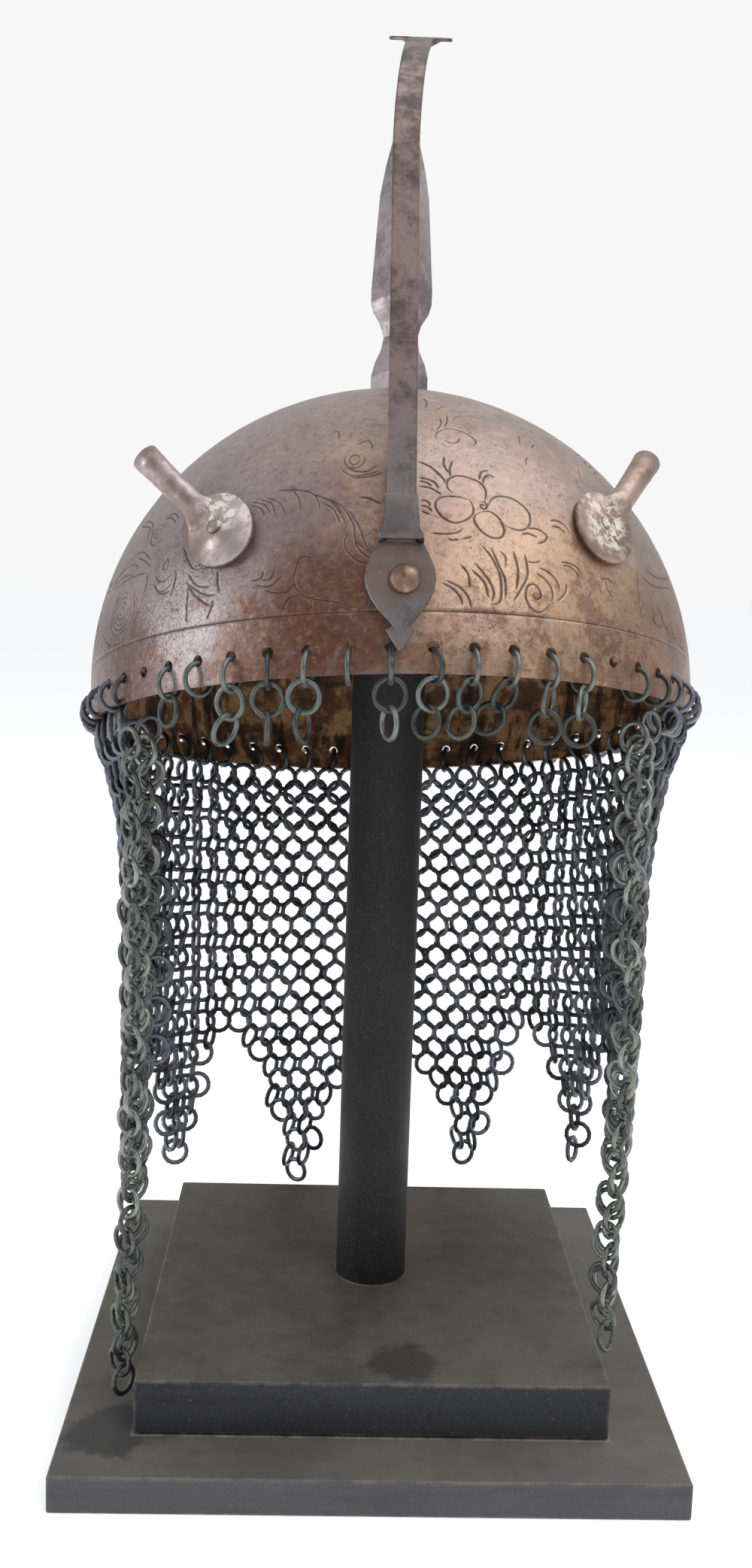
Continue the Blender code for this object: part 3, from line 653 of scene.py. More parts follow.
@dataclass(frozen=True)
class FittingSteel:
    """A fitting's steel: two tones in clouds, fine pits, and pale corrosion where it has any."""

    name: str
    light: Colour
    dark: Colour
    crust: Colour = paint(225, 215, 205)
    crusted: float = 0.0
    crust_centre: Sequence[float] = (0.0, 0.0, 0.0)
    crust_reach: float = 0.010
    crust_edge: float = 0.0045
    crust_metallic: float = 0.15
    low_tone: Optional[Colour] = None
    low_height: tuple[float, float] = (0.0, 0.0)
    cloud_scale: float = 55.0
    roughness: float = 0.42
    metallic: float = 0.88
    relief: float = 0.00012

    def material(self) -> bpy.types.Material:
        """Builds the finish.

        Returns:
            The material.
        """
        make = Recipe(self.name)
        clouds = make.noise(self.cloud_scale, 6.0, 0.62)
        mottle = make.noise(260.0, 6.0, 0.7, shift=(5.0, 1.0, 9.0))
        fine = make.noise(900.0, 4.0, 0.65, shift=(2.0, 6.0, 1.0))
        tone = make.plus(make.times(clouds, 0.6), make.times(mottle, 0.4))
        colour = make.wash(self.light, tone, 0.42, 0.60, 1.0, self.dark)
        if self.low_tone is not None:
            share = make.ease(make.plus(make.height(), make.times(clouds, 0.03)), *self.low_height,
                              start=1.0, end=0.0)
            share = make.times(share, make.ease(mottle, 0.36, 0.60, 1.0, 0.35))
            colour = make.blend(share, colour, self.low_tone)
        pits = make.times(make.specks(900.0, 0.14), make.ease(mottle, 0.42, 0.6, 0.2, 0.9))
        colour = make.blend(make.times(pits, 0.75), colour, self.dark)
        rough = make.ease(mottle, 0.3, 0.7, self.roughness - 0.06, self.roughness + 0.12)
        metallic: Value = self.metallic
        if self.crusted > 0.0:
            scab = make.noise(330.0, 8.0, 0.75, shift=(9.0, 3.0, 4.0))
            where = make.near(self.crust_centre, self.crust_reach, self.crust_edge, clouds)
            share = make.times(where, make.ease(scab, 0.62 - 0.2 * self.crusted, 0.68 - 0.2 * self.crusted))
            colour = make.blend(make.times(share, 0.92), colour, self.crust)
            rough = make.plus(rough, make.times(share, 0.25), clamp=True)
            metallic = make.ease(share, 0.0, 1.0, self.metallic, self.crust_metallic)
        grain = make.minus(make.times(fine, 0.6), make.times(pits, 0.4))
        return make.finish(base_color=colour, metallic=metallic, roughness=rough,
                           normal=make.bump(grain, self.relief, 0.7))


@dataclass(frozen=True)
class RingIron:
    """Mail rings: iron whose tone differs from ring to ring, dulled by old oil and a little rust."""

    name: str
    light: Colour
    dark: Colour
    stain: Colour = paint(96, 74, 58)
    stained: float = 0.25
    roughness: float = 0.42
    metallic: float = 0.85
    relief: float = 0.00006

    def material(self) -> bpy.types.Material:
        """Builds the finish.

        Returns:
            The material.
        """
        make = Recipe(self.name)
        fine = make.noise(700.0, 4.0, 0.6)
        clouds = make.noise(38.0, 5.0, 0.6, shift=(4.0, 4.0, 4.0))
        tone = make.plus(make.times(make.attribute("shade"), 0.55), make.times(fine, 0.45))
        colour = make.wash(self.dark, tone, 0.2, 0.85, 1.0, self.light)
        colour = make.blend(make.times(make.ease(clouds, 0.5, 0.72), self.stained), colour, self.stain)
        rough = make.ease(fine, 0.3, 0.7, self.roughness - 0.08, self.roughness + 0.14)
        return make.finish(base_color=colour, metallic=self.metallic, roughness=rough,
                           normal=make.bump(fine, self.relief, 0.6))


@dataclass(frozen=True)
class StandPaint:
    """Charcoal paint on wood: brown dust on level faces, dark water stains, rubbed edges and faint grain."""

    name: str
    low: tuple[float, float, float]
    high: tuple[float, float, float]
    body: Colour
    stains: tuple[tuple[float, float, float], ...] = ()
    dust: Colour = paint(120, 114, 100)
    grime: Colour = paint(86, 74, 60)
    stain: Colour = paint(34, 34, 36)
    edge: Colour = paint(140, 134, 124)
    dusty: float = 0.5
    foot: Optional[tuple[Vector, Vector]] = None
    rounded: bool = False
    roughness: float = 0.58
    gloss: float = 0.35
    relief: float = 0.00022
    stain_edge: float = 0.0065

    def material(self) -> bpy.types.Material:
        """Builds the finish.

        Returns:
            The material.
        """
        make = Recipe(self.name)
        clouds = make.noise(20.0, 8.0, 0.66)
        mottle = make.noise(120.0, 7.0, 0.7, shift=(2.0, 7.0, 1.0))
        speckle = make.noise(1500.0, 3.0, 0.7, shift=(1.0, 1.0, 1.0))
        grain = make.noise(90.0, 5.0, 0.6, stretch=(0.1, 1.0, 1.0) if not self.rounded else (1.0, 1.0, 0.06))
        colour = make.wash(self.body, grain, 0.42, 0.66, 0.4, self.stain)
        normal = make.add("ShaderNodeNewGeometry").outputs["True Normal"]
        parts = make.add("ShaderNodeSeparateXYZ")
        make.feed(parts.inputs[0], normal)
        level = make.ease(parts.outputs["Z"], 0.6, 0.95)
        settled = make.plus(make.times(clouds, 0.65), make.times(mottle, 0.35))
        dust = make.times(level, make.ease(settled, 0.40, 0.60, 0.45, 1.0))
        colour = make.blend(make.times(dust, self.dusty), colour, self.dust)
        colour = make.blend(make.times(level, make.ease(mottle, 0.54, 0.70, 0.0, 0.45)), colour, self.grime)
        for x, y, reach in self.stains:
            wet = make.near((x, y, self.high[2]), reach, self.stain_edge, mottle)
            colour = make.blend(make.times(wet, 0.62), colour, self.stain)
        if self.foot is not None:
            swept = make.times(self.round_foot(make, self.foot), make.ease(mottle, 0.38, 0.60, 0.1, 0.85))
            colour = make.blend(swept, colour, self.edge)
        colour = make.wash(colour, speckle, 0.56, 0.70, 0.34, self.dust)
        colour = make.wash(colour, speckle, 0.44, 0.30, 0.30, self.stain)
        chips = make.times(make.specks(160.0, 0.03, 0.03), make.ease(clouds, 0.48, 0.6))
        colour = make.blend(make.times(chips, 0.6), colour, self.edge)
        if not self.rounded:
            wear_and_highlight = make.times(self.near_edges(make), make.ease(mottle, 0.42, 0.62, 0.08, 1.0))
            colour = make.blend(make.times(wear_and_highlight, 0.38), colour, self.edge)
        surface = make.plus(make.times(grain, 0.4), make.times(speckle, 0.5))
        return make.finish(base_color=colour, metallic=0.0, specular_ior_level=self.gloss,
                           roughness=make.ease(clouds, 0.3, 0.7, self.roughness - 0.1, self.roughness + 0.12),
                           normal=make.bump(surface, self.relief, 0.6))

    def near_edges(self, make: Recipe) -> Socket:
        """A mask along a board's edges: where a point is near two of its faces at once.

        Args:
            make: The finish's recipe.

        Returns:
            The mask, 1 on the edges.
        """
        parts = make.add("ShaderNodeSeparateXYZ")
        make.feed(parts.inputs[0], make.place)
        near = []
        for axis, sides in enumerate(zip(self.low, self.high)):
            gaps = [make.math("ABSOLUTE", make.minus(parts.outputs[axis], side)) for side in sides]
            near.append(make.ease(make.math("MINIMUM", *gaps), *EDGE_RUB, 1.0, 0.0))
        pairs = [make.times(near[a], near[b]) for a, b in ((0, 1), (1, 2), (0, 2))]
        return make.math("MAXIMUM", make.math("MAXIMUM", pairs[0], pairs[1]), pairs[2])

    def round_foot(self, make: Recipe, foot: tuple[Vector, Vector]) -> Socket:
        """A mask along the line where the next piece up stands.

        Args:
            make: The finish's recipe.
            foot: The next piece's box. A slim one is taken as the round post, and any other as a board.

        Returns:
            The mask, 1 along the line.
        """
        low, high = foot
        middle, half = (low + high) / 2, (high - low) / 2
        parts = make.add("ShaderNodeSeparateXYZ")
        make.feed(parts.inputs[0], make.place)
        above = make.math("ABSOLUTE", make.minus(parts.outputs["Z"], self.high[2]))
        level = make.ease(above, 0.0002, 0.0008, 1.0, 0.0)
        if half.x < WIDEST_POST:
            return make.times(level, make.near((middle.x, middle.y, self.high[2]), half.x, 0.0014))
        aside = [make.minus(make.math("ABSOLUTE", make.minus(parts.outputs[axis], middle[axis])), half[axis])
                 for axis in (0, 1)]
        return make.times(level, make.ease(make.math("MAXIMUM", *aside), 0.0003, 0.0012, 1.0, 0.0))


# ---- the engraving


@dataclass(frozen=True)
class Stroke:
    """One cut of the graver: the places that it passes, as (azimuth, elevation), and its half width.

    A blunt cut keeps its width to its ends, and any other one tapers.
    """

    places: tuple[Spot, ...]
    half_width: float
    blunt: bool = False

    def length(self) -> float:
        """The cut's length in metres."""
        points = [on_bowl(*place) for place in self.places]
        return sum((b - a).length for a, b in zip(points, points[1:]))


class CutPoint(NamedTuple):
    """One point of a cut on the shell, how fine its faces are, and whether it joins the point before it."""

    place: Vector
    half_width: float
    level: int
    joined: bool


def curve_through(places: Sequence[Spot], step: float = 0.35) -> tuple[Spot, ...]:
    """A smooth line through places, as closely spaced places.

    Args:
        places: Two or more places in degrees.
        step: The spacing wanted, in degrees.

    Returns:
        The line's places.
    """
    ends = [places[0], *places, places[-1]]
    line: list[Spot] = []
    for a, b, c, d in zip(ends, ends[1:], ends[2:], ends[3:]):
        count = max(2, round(math.dist(b, c) / step))
        for i in range(count):
            t = i / count
            line.append(tuple(0.5 * (2 * q + (r - p) * t + (2 * p - 5 * q + 4 * r - s) * t * t
                                     + (3 * q - 3 * r + s - p) * t ** 3) for p, q, r, s in zip(a, b, c, d)))
    line.append(tuple(places[-1]))
    return tuple(line)


class Scrollwork:
    """The floral scrollwork of one field of the bowl, gathered as strokes."""

    BROAD = 0.00042
    NARROW = 0.00032

    def __init__(self) -> None:
        """Starts with no strokes."""
        self.strokes: list[Stroke] = []

    def cut(self, *places: Spot, fine: bool = False) -> None:
        """A cut through two or more places. A fine one is narrower."""
        self.strokes.append(Stroke(curve_through(places), self.NARROW if fine else self.BROAD))

    def cuts(self, *lines: Sequence[Spot], fine: bool = False) -> None:
        """Several cuts."""
        for line in lines:
            self.cut(*line, fine=fine)

    def petal(self, centre: Spot, half: Spot, start: float = 0.0, sweep: float = 360.0,
              fine: bool = True) -> None:
        """A petal's rounded outline, or a part of it.

        Args:
            centre: The petal's middle.
            half: Its half width and half height, in degrees.
            start: Where round it the cut starts.
            sweep: How far round it goes.
            fine: Whether the cut is narrow.
        """
        turns = [math.radians(start + sweep * i / 12) for i in range(13)]
        self.cut(*((centre[0] + half[0] * math.cos(turn), centre[1] + half[1] * math.sin(turn))
                   for turn in turns), fine=fine)

    def spiral(self, centre: Spot, reach: float, turns: float) -> None:
        """A tendril's curl, wound out from its middle.

        Args:
            centre: Where it winds to.
            reach: Its outer radius in degrees.
            turns: How many times it winds round.
        """
        count = round(12 * turns) + 1
        places = []
        for i in range(count):
            share = i / (count - 1)
            turn = share * turns * 2 * math.pi
            out = reach * (0.15 + 0.85 * share)
            places.append((centre[0] + out * math.cos(turn), centre[1] + out * math.sin(turn)))
        self.cut(*places)

    def right_field(self) -> None:
        """The field to the right of the face bar: a flower over grass, with waves beyond it."""
        self.flower()
        self.grass()
        self.cuts(((3.2, 30.9), (5.5, 29.5), (7.5, 27), (8, 25.6)), ((8.6, 32.2), (8.1, 30.5), (8.7, 28.4)),
                  ((10, 31.3), (9.1, 29.2), (9, 27.6)), ((14.6, 27.3), (15, 28.6), (16, 29.5), (17, 29.6)),
                  ((15.2, 26.5), (15.6, 27.7), (16.9, 28.6), (17.8, 28.1)))
        self.cuts(((3, 27), (4.8, 26.6), (6, 25.8), (6.4, 24.6)), ((3, 26.2), (4.2, 26), (5.2, 25.2)),
                  ((3, 25), (5, 24.7), (6.8, 23.4)), ((3, 22), (4, 22), (4.6, 21.3), (4.4, 20.9)),
                  ((3, 20.9), (4, 20.8), (4.9, 19.9)), ((3, 19.9), (4.4, 19.3)),
                  ((4.4, 15.7), (7, 15.6), (9, 16), (9.9, 16.8)), ((9.8, 14.8), (11.3, 15.3)),
                  ((7.2, 14.8), (8, 14.5), (9, 14.7)))
        self.cuts(((22, 17.9), (24, 18), (25.7, 17), (25, 15.8), (23.5, 15.2)),
                  ((20.8, 16.6), (22, 16.9), (23.7, 16.4)),
                  ((27.3, 20.1), (28.5, 20.4), (30.3, 19.8), (31, 18.4)),
                  ((27.4, 19.1), (28.9, 19), (30.2, 18.1)),
                  ((27.7, 12.3), (29, 12.4), (30.8, 11.9), (31.7, 10.9)),
                  ((28, 11.8), (29.5, 11.7), (30.9, 10.6), (30.6, 10.1)))
        self.cuts(((37.4, 10.3), (37.6, 8.8), (38.6, 7.6)), ((36.3, 10.6), (38, 10.9), (38.9, 10.2)),
                  ((48.2, 14.8), (47, 11.5), (46.2, 8), (46.2, 5)),
                  ((48.3, 13.9), (50.5, 12.8), (53.5, 12.5), (57, 13), (61, 13.9), (65.5, 14.3)),
                  ((51.5, 15.9), (53.5, 14.9), (56.5, 14.8), (60.5, 15.6), (65.5, 16.9)),
                  ((50.3, 6.2), (51, 5.2), (52.5, 4.6)), ((53.2, 8.3), (54, 6.6), (55.3, 5.4)),
                  ((55.3, 5.5), (57, 4.3), (59.3, 4)), ((58, 5.6), (61.5, 3.6), (65, 3.2)))
        self.cuts(((50, 39), (52.5, 40.5), (55, 41.3)), ((50.3, 38), (53, 39.3), (55.2, 39.9)),
                  ((50.6, 36.4), (53, 37.7), (55.2, 38)), ((51, 42), (54, 43.3), (57, 44.6)),
                  ((43.7, 35.9), (42, 33.6), (41.3, 31.6)), ((28, 38.6), (29, 40.6), (29.9, 42.2)),
                  ((30.9, 38.2), (32.6, 39.8)), ((26.4, 32.6), (27.2, 34.2), (28.2, 35)), fine=True)
        self.cuts(((7.8, 37.2), (8, 39), (10, 40.5), (12, 40.9), (14.5, 40), (16.2, 38.4), (16.4, 36.9),
                   (14.8, 35.6)), ((9.4, 37), (10.8, 36.3), (12.3, 36.8), (13, 38.2)),
                  ((10.2, 41), (11.6, 43.5), (12.4, 46)), ((8.3, 40), (9.8, 42.3), (10.2, 44.5)),
                  ((13.5, 44.6), (15.5, 46.2), (18, 46.9), (19.5, 46.7)),
                  ((8.6, 54.5), (8.5, 51.5), (7.4, 48.8)), ((9.9, 47.8), (12.5, 50), (14.5, 50.9)),
                  fine=True)

    def flower(self) -> None:
        """The open flower: four rounded petals round a small curl."""
        self.cut((9, 23.8), (8.1, 25), (8.5, 26.8), (10.5, 27.8), (12.8, 27.4), (14.7, 26.4), (15.3, 24.6),
                 (14.6, 22.2))
        self.cut((11.8, 22.6), (9.5, 23.1), (7, 22.9), (5.7, 21.8), (5.7, 20.2), (6.9, 18.5), (8.6, 17.8),
                 (10.6, 18.4), (12.1, 19.8), (12.3, 21.3), (11.8, 22.6))
        self.cut((15, 21.4), (16.4, 23.3), (18.3, 24), (20.6, 23.6), (22.4, 22.2), (23.1, 20.5),
                 (22.4, 18.4), (20.8, 17.4), (19, 17.5), (17.5, 18.1))
        self.cut((13.6, 20.2), (12.4, 19.4), (12.2, 18.1), (13.3, 16.4), (15, 15.4), (16.8, 15.7),
                 (17.4, 17.3), (16.7, 19.4), (15.2, 20.5), (13.6, 20.2))
        self.spiral((14.2, 21.5), 0.95, 1.3)

    def grass(self) -> None:
        """The fan of grass under the flower, with a curled tendril at its side."""
        self.cuts(((13, 13.8), (14.6, 11.6), (15.7, 8.5), (15.6, 5), (14.9, 3.9), (13.8, 3.7)),
                  ((14.7, 13.3), (15.6, 10.5), (16.5, 8), (16.4, 5)),
                  ((10.9, 9.4), (12.9, 7.2), (13.4, 4.9)),
                  ((11.5, 10.6), (13.5, 8), (14.4, 5.8), (14, 4.2)), ((18.6, 13.2), (19, 9.8), (18.4, 6.5)),
                  ((20.6, 13), (20.7, 9.3), (18.8, 6), (17.8, 4.6)),
                  ((5.9, 6.9), (7.6, 6), (8.8, 4.5), (9, 3.4)),
                  ((6.6, 7.3), (8.6, 6.4), (10, 4.8), (10.5, 3)),
                  ((23.2, 10.7), (25, 10), (26.3, 8.6), (26.6, 7.2)),
                  ((22.5, 9.7), (24.3, 8.5), (25.1, 6.8), (24.9, 5.2)),
                  ((28.2, 8.6), (27.6, 6.8), (26, 5.3)))
        self.cuts(((9, 10.2), (10.2, 8.6), (10.4, 6.2)), ((16.2, 13), (17, 12), (16.8, 10.8)),
                  ((21, 11.6), (22.4, 11.6), (23.4, 12)), fine=True)
        self.cut((24.2, 4.2), (22.3, 3), (20.6, 3.9), (20, 5.6), (20.5, 7.2), (21.7, 7.7), (22.7, 6.8),
                 (22.7, 5.6), (21.9, 5.2), (21.4, 5.8), (21.8, 6.3))

    def left_field(self) -> None:
        """The field to the left of the face bar: a feathered arch and vine, with ribbons beyond it."""
        self.feathers()
        self.vine()
        self.ribbons()
        self.cuts(((-42.5, 22), (-42, 18.5), (-40, 15), (-38, 12.8), (-36.5, 12.5)),
                  ((-39, 12), (-37, 9.8), (-35, 9), (-33.5, 9)),
                  ((-39, 10.5), (-37, 8), (-34, 5.8), (-33, 5.8)),
                  ((-38.5, 10), (-35.5, 8), (-33.5, 7.3), (-32.3, 7.3)),
                  ((-32.4, 11.5), (-32.1, 9), (-31.6, 7.5)), ((-33, 6.5), (-32.8, 5.5), (-33.8, 3.3)))
        self.cut((-38.5, 10), (-38.3, 3.5), fine=True)

    def feathers(self) -> None:
        """The feathered arch between the left plume holder and the face bar."""
        self.cuts(((-28, 23.3), (-26, 22.5), (-24.8, 20.8)), ((-28, 24), (-25.5, 23.3), (-23.7, 21.2)),
                  ((-26.5, 24.4), (-24, 23.3), (-22.7, 20.8)), ((-25, 24.4), (-22.5, 23.3), (-20.7, 20.5)))
        self.cuts(((-23, 25.7), (-20, 25.5), (-16.5, 24.5), (-15, 22.5), (-14.5, 20.5)),
                  ((-20, 25.3), (-18.7, 23.5), (-18, 20.8)),
                  ((-16.5, 24.3), (-13, 22.5), (-11, 20), (-9.7, 17.5)),
                  ((-14.2, 23.3), (-11.5, 21.5), (-10.5, 19)), ((-14, 22), (-12, 20.5), (-10.8, 17.8)),
                  ((-13, 22.8), (-10.5, 21), (-8.5, 17.5), (-8, 14.5), (-5.5, 12)),
                  ((-9.2, 20), (-7.5, 17), (-6.5, 14), (-5.2, 11.8)),
                  ((-9.5, 16), (-9.8, 13.5), (-8, 11), (-5.8, 10.2)),
                  ((-8.2, 14.5), (-7.2, 12.5), (-5.5, 11)), ((-7.8, 22.8), (-6, 22.5), (-3.7, 21.2)))
        self.petal((-9, 31.5), (1, 1.2))
        self.petal((-9, 31.7), (2, 2.3), 160, 220)
        self.cuts(((-11.5, 29.5), (-10, 28), (-8, 27.5), (-4, 28.5)),
                  ((-10.5, 30), (-9, 28.8), (-6.5, 28.5), (-4.5, 30)), ((-9, 27), (-6, 27.3), (-3.5, 28)),
                  ((-9, 35.5), (-6.5, 36.5), (-5.5, 34)), ((-14.8, 40), (-13.5, 40), (-13, 37.5)),
                  fine=True)

    def vine(self) -> None:
        """The vine under the arch, with its side shoots and small leaves."""
        self.cuts(((-15, 11.7), (-17, 12), (-17.8, 10), (-18, 8), (-17, 6), (-15, 4.8), (-12, 4.2),
                   (-9.5, 3.5), (-8.3, 2.8)), ((-18, 7.5), (-19, 6.3), (-21, 6.2), (-22.8, 6.7)),
                  ((-17, 5.5), (-18.8, 5), (-19.8, 3)), ((-15, 4.5), (-15, 3.4), (-16, 2.9)))
        self.cuts(((-25.5, 8.7), (-23.8, 9), (-23.5, 10.2)), ((-23.7, 8.6), (-22, 8.8), (-21.5, 10.2)),
                  ((-24.5, 7.8), (-22, 7.5), (-20.2, 9)))

    def ribbons(self) -> None:
        """The far left of the field: scales, a round bud, long ribbons and a whorl of nested ovals."""
        self.petal((-45.6, 15), (0.7, 1))
        self.cuts(((-48, 13.5), (-46.5, 12), (-44.5, 12), (-43.5, 13)),
                  ((-47.8, 11.8), (-46.5, 10.3), (-44.5, 10), (-43, 11)),
                  ((-46.7, 10), (-45, 9.5), (-43, 9.6)), ((-42.3, 13), (-42, 11.5), (-42.6, 8.5)))
        self.petal((-51.8, 23), (1.6, 1.3))
        self.petal((-51.8, 22.9), (0.7, 0.6))
        self.cuts(((-54.5, 24.2), (-53.5, 21.2), (-51.5, 20), (-50.5, 20.2)),
                  ((-51.5, 25.7), (-49, 25.2), (-46.5, 23.5)), ((-50.7, 26.3), (-48, 25.8), (-46.2, 24.3)),
                  ((-63.5, 27.2), (-60, 26.2), (-57, 25), (-55.5, 22)),
                  ((-62.5, 27.8), (-59.5, 27.2), (-56.5, 25.8), (-55, 23.5)),
                  ((-67, 16), (-63, 18), (-59, 19.7), (-57.5, 20.5)),
                  ((-65, 16.7), (-61.5, 17.7), (-57.5, 17.7), (-55, 16.2)),
                  ((-56.5, 18.7), (-53.5, 17.5), (-50.5, 15.7)), ((-59, 20), (-55, 19.5), (-51, 17)),
                  ((-67, 15.2), (-61.5, 16.2), (-59.5, 15.9), (-56.5, 15.7)),
                  ((-65, 14.6), (-60.5, 14.9), (-55.5, 15), (-51, 14.6)))
        self.cuts(((-50.8, 14.5), (-50.4, 12.5), (-50.8, 10), (-51.5, 7.5)), ((-53, 10.5), (-53.5, 8)),
                  ((-67, 6.5), (-64, 4.5), (-61, 3)), ((-59.8, 3.2), (-57.5, 3.2), (-55.5, 4.5)), fine=True)
        for i in range(5):
            share = i / 4
            self.petal((-58.2, 9), (0.8 + 3.9 * share, 0.7 + 3.6 * share), 25 * i, 290, fine=i % 2 == 0)

    def mirrored(self, middle: float) -> list[Stroke]:
        """The strokes as a mirror image across an azimuth."""
        return [Stroke(tuple((2 * middle - a, e) for a, e in s.places), s.half_width) for s in self.strokes]

    def turned(self, by: float) -> list[Stroke]:
        """The strokes carried round the bowl."""
        return [Stroke(tuple((a + by, e) for a, e in s.places), s.half_width) for s in self.strokes]


@dataclass
class Bowl:
    """The bowl: one thin steel shell, drilled round its rim and engraved all over its outside."""

    columns: int = 108
    rings: int = 54
    hole_sides: int = 6
    row_reach: float = 0.2
    hole_reach: float = 1.2
    mirrors: Spot = (67.0, -68.0)
    turns: Spot = (136.0, 204.0)
    last_turn_end: float = 222.0
    border: float = 2.3
    border_step: float = 0.4
    border_half_width: float = 0.00038
    tip_width: float = 0.35
    swell: float = 1.3
    depth: float = 0.00026
    full_depth_from: float = 0.00036
    darkest_at: float = 1.5
    levels: int = 5
    coarser_beyond: tuple[float, ...] = (60.0, 95.0)
    margins: tuple[float, ...] = (0.72, 0.66, 0.58, 0.46, 0.32)
    outside: float = BOWL_RADIUS - BOWL_WALL * 0.4
    smooth: float = 48.0
    finish: BowlSteel = field(default_factory=BowlSteel)
    inside: BowlInside = field(default_factory=BowlInside)

    def build(self) -> bpy.types.Object:
        """Models the bowl, cuts the engraving into it, and puts it in the CAD skull's place.

        Returns:
            The bowl.
        """
        bowl = self.shell()
        self.drill(bowl)
        self.thicken(bowl)
        self.engrave(bowl, self.ornament())
        bowl.data.transform(SPHERE)
        select_only(bowl)
        bpy.ops.object.shade_smooth_by_angle(angle=math.radians(self.smooth))
        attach(bowl, FIXED_BODY)
        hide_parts("skull")
        return bowl

    def shell(self) -> bpy.types.Object:
        """A sphere cut level at the rim, with a column of points through each hole.

        Returns:
            The shell, in the sphere's own frame.
        """
        select_only()
        bpy.ops.mesh.primitive_uv_sphere_add(segments=self.columns, ring_count=self.rings, radius=BOWL_RADIUS)
        bowl = bpy.context.object
        bowl.name = "engraved_bowl"
        bowl.rotation_euler.z = math.radians(HOLE_START - 90.0)
        settle(bowl)
        bpy.ops.object.mode_set(mode="EDIT")
        bpy.ops.mesh.select_all(action="SELECT")
        bpy.ops.mesh.bisect(plane_co=(0.0, 0.0, RIM_HEIGHT - SPHERE_HEIGHT), plane_no=UP, clear_inner=True)
        bpy.ops.object.mode_set(mode="OBJECT")
        return bowl

    def drill(self, bowl: bpy.types.Object) -> None:
        """Opens the rim holes: each is a point spread into a small round face, which is then removed.

        Args:
            bowl: The shell, still without its wall.
        """
        self.level_row(bowl.data)
        centres = []
        select_only(bowl)
        bpy.ops.object.mode_set(mode="EDIT")
        bpy.ops.mesh.select_mode(type="VERT")
        bpy.ops.mesh.select_all(action="DESELECT")
        shape = bmesh.from_edit_mesh(bowl.data)
        for index in range(HOLE_COUNT):
            centre = HELMET.inverted() @ hole_place(index) - Vector((0.0, 0.0, SPHERE_HEIGHT))
            vertex = min(shape.verts, key=lambda v: (v.co - centre).length_squared)
            vertex.select = True
            centres.append(vertex.co.copy())
        shape.select_flush_mode()
        bmesh.update_edit_mesh(bowl.data)
        bpy.ops.mesh.bevel(offset=HOLE_RADIUS, affect="VERTICES", segments=self.hole_sides)
        shape = bmesh.from_edit_mesh(bowl.data)
        near = tree_of(centres)
        discs = [face for face in shape.faces if near.find(face.calc_center_median())[2] < HOLE_RADIUS]
        bmesh.ops.delete(shape, geom=discs, context="FACES")
        for vertex in [vertex for vertex in shape.verts if vertex.is_boundary]:
            middle, _, gap = near.find(vertex.co)
            if gap < HOLE_RADIUS * self.hole_reach:
                rounded = middle + (vertex.co - middle).normalized() * HOLE_RADIUS
                vertex.co = rounded.normalized() * BOWL_RADIUS
        LOG.info("rim holes drilled: %d", len(discs) // self.hole_sides ** 2)
        bmesh.update_edit_mesh(bowl.data)
        bpy.ops.object.mode_set(mode="OBJECT")

    def level_row(self, mesh: bpy.types.Mesh) -> None:
        """Moves the row of points nearest the rim holes' level exactly onto it.

        Args:
            mesh: The shell's mesh.
        """
        step = math.radians(180.0 / self.rings)
        for vertex in mesh.vertices:
            tall = math.asin(max(-1.0, min(1.0, vertex.co.z / BOWL_RADIUS)))
            if abs(tall + step) < step * self.row_reach:
                flat = Vector((vertex.co.x, vertex.co.y, 0.0)).normalized()
                vertex.co = flat * math.sqrt(BOWL_RADIUS ** 2 - SPHERE_HEIGHT ** 2)
                vertex.co.z = -SPHERE_HEIGHT

    def thicken(self, bowl: bpy.types.Object) -> None:
        """Gives the shell its wall, inwards, with the inside as a second material.

        Args:
            bowl: The drilled shell.
        """
        bowl.data.materials.append(self.finish.material())
        bowl.data.materials.append(self.inside.material())
        select_only(bowl)
        wall = bowl.modifiers.new("wall", "SOLIDIFY")
        wall.thickness = BOWL_WALL
        wall.offset = -1.0
        wall.material_offset = 1
        bpy.ops.object.modifier_apply(modifier=wall.name)

    def ornament(self) -> list[Stroke]:
        """All the strokes: the two front fields, their mirrored and turned copies, and the border.

        Returns:
            The strokes, in drawing order.
        """
        right, left = Scrollwork(), Scrollwork()
        right.right_field()
        left.left_field()
        last = [s for s in right.turned(self.turns[1]) if max(a for a, _ in s.places) < self.last_turn_end]
        steps = round(360.0 / self.border_step)
        border = tuple((i * self.border_step, self.border) for i in range(steps + 1))
        strokes = [*right.strokes, *left.strokes, *right.mirrored(self.mirrors[0]),
                   *left.mirrored(self.mirrors[1]), *right.turned(self.turns[0]), *last,
                   Stroke(border, self.border_half_width, blunt=True)]
        LOG.info("engraving: %d strokes, %.2f m", len(strokes), sum(s.length() for s in strokes))
        return strokes

    def engrave(self, bowl: bpy.types.Object, strokes: list[Stroke]) -> None:
        """Cuts the strokes into the outside: finer and finer faces near them, then a groove along each.

        Args:
            bowl: The walled shell, in the sphere's own frame.
            strokes: What to cut.
        """
        cuts = self.cut_points(strokes)
        tree = tree_of([cut.place for cut in cuts])
        self.refine(bowl, tree, cuts)
        self.carve(bowl, tree, cuts)
        LOG.info("bowl faces: %d", len(bowl.data.polygons))

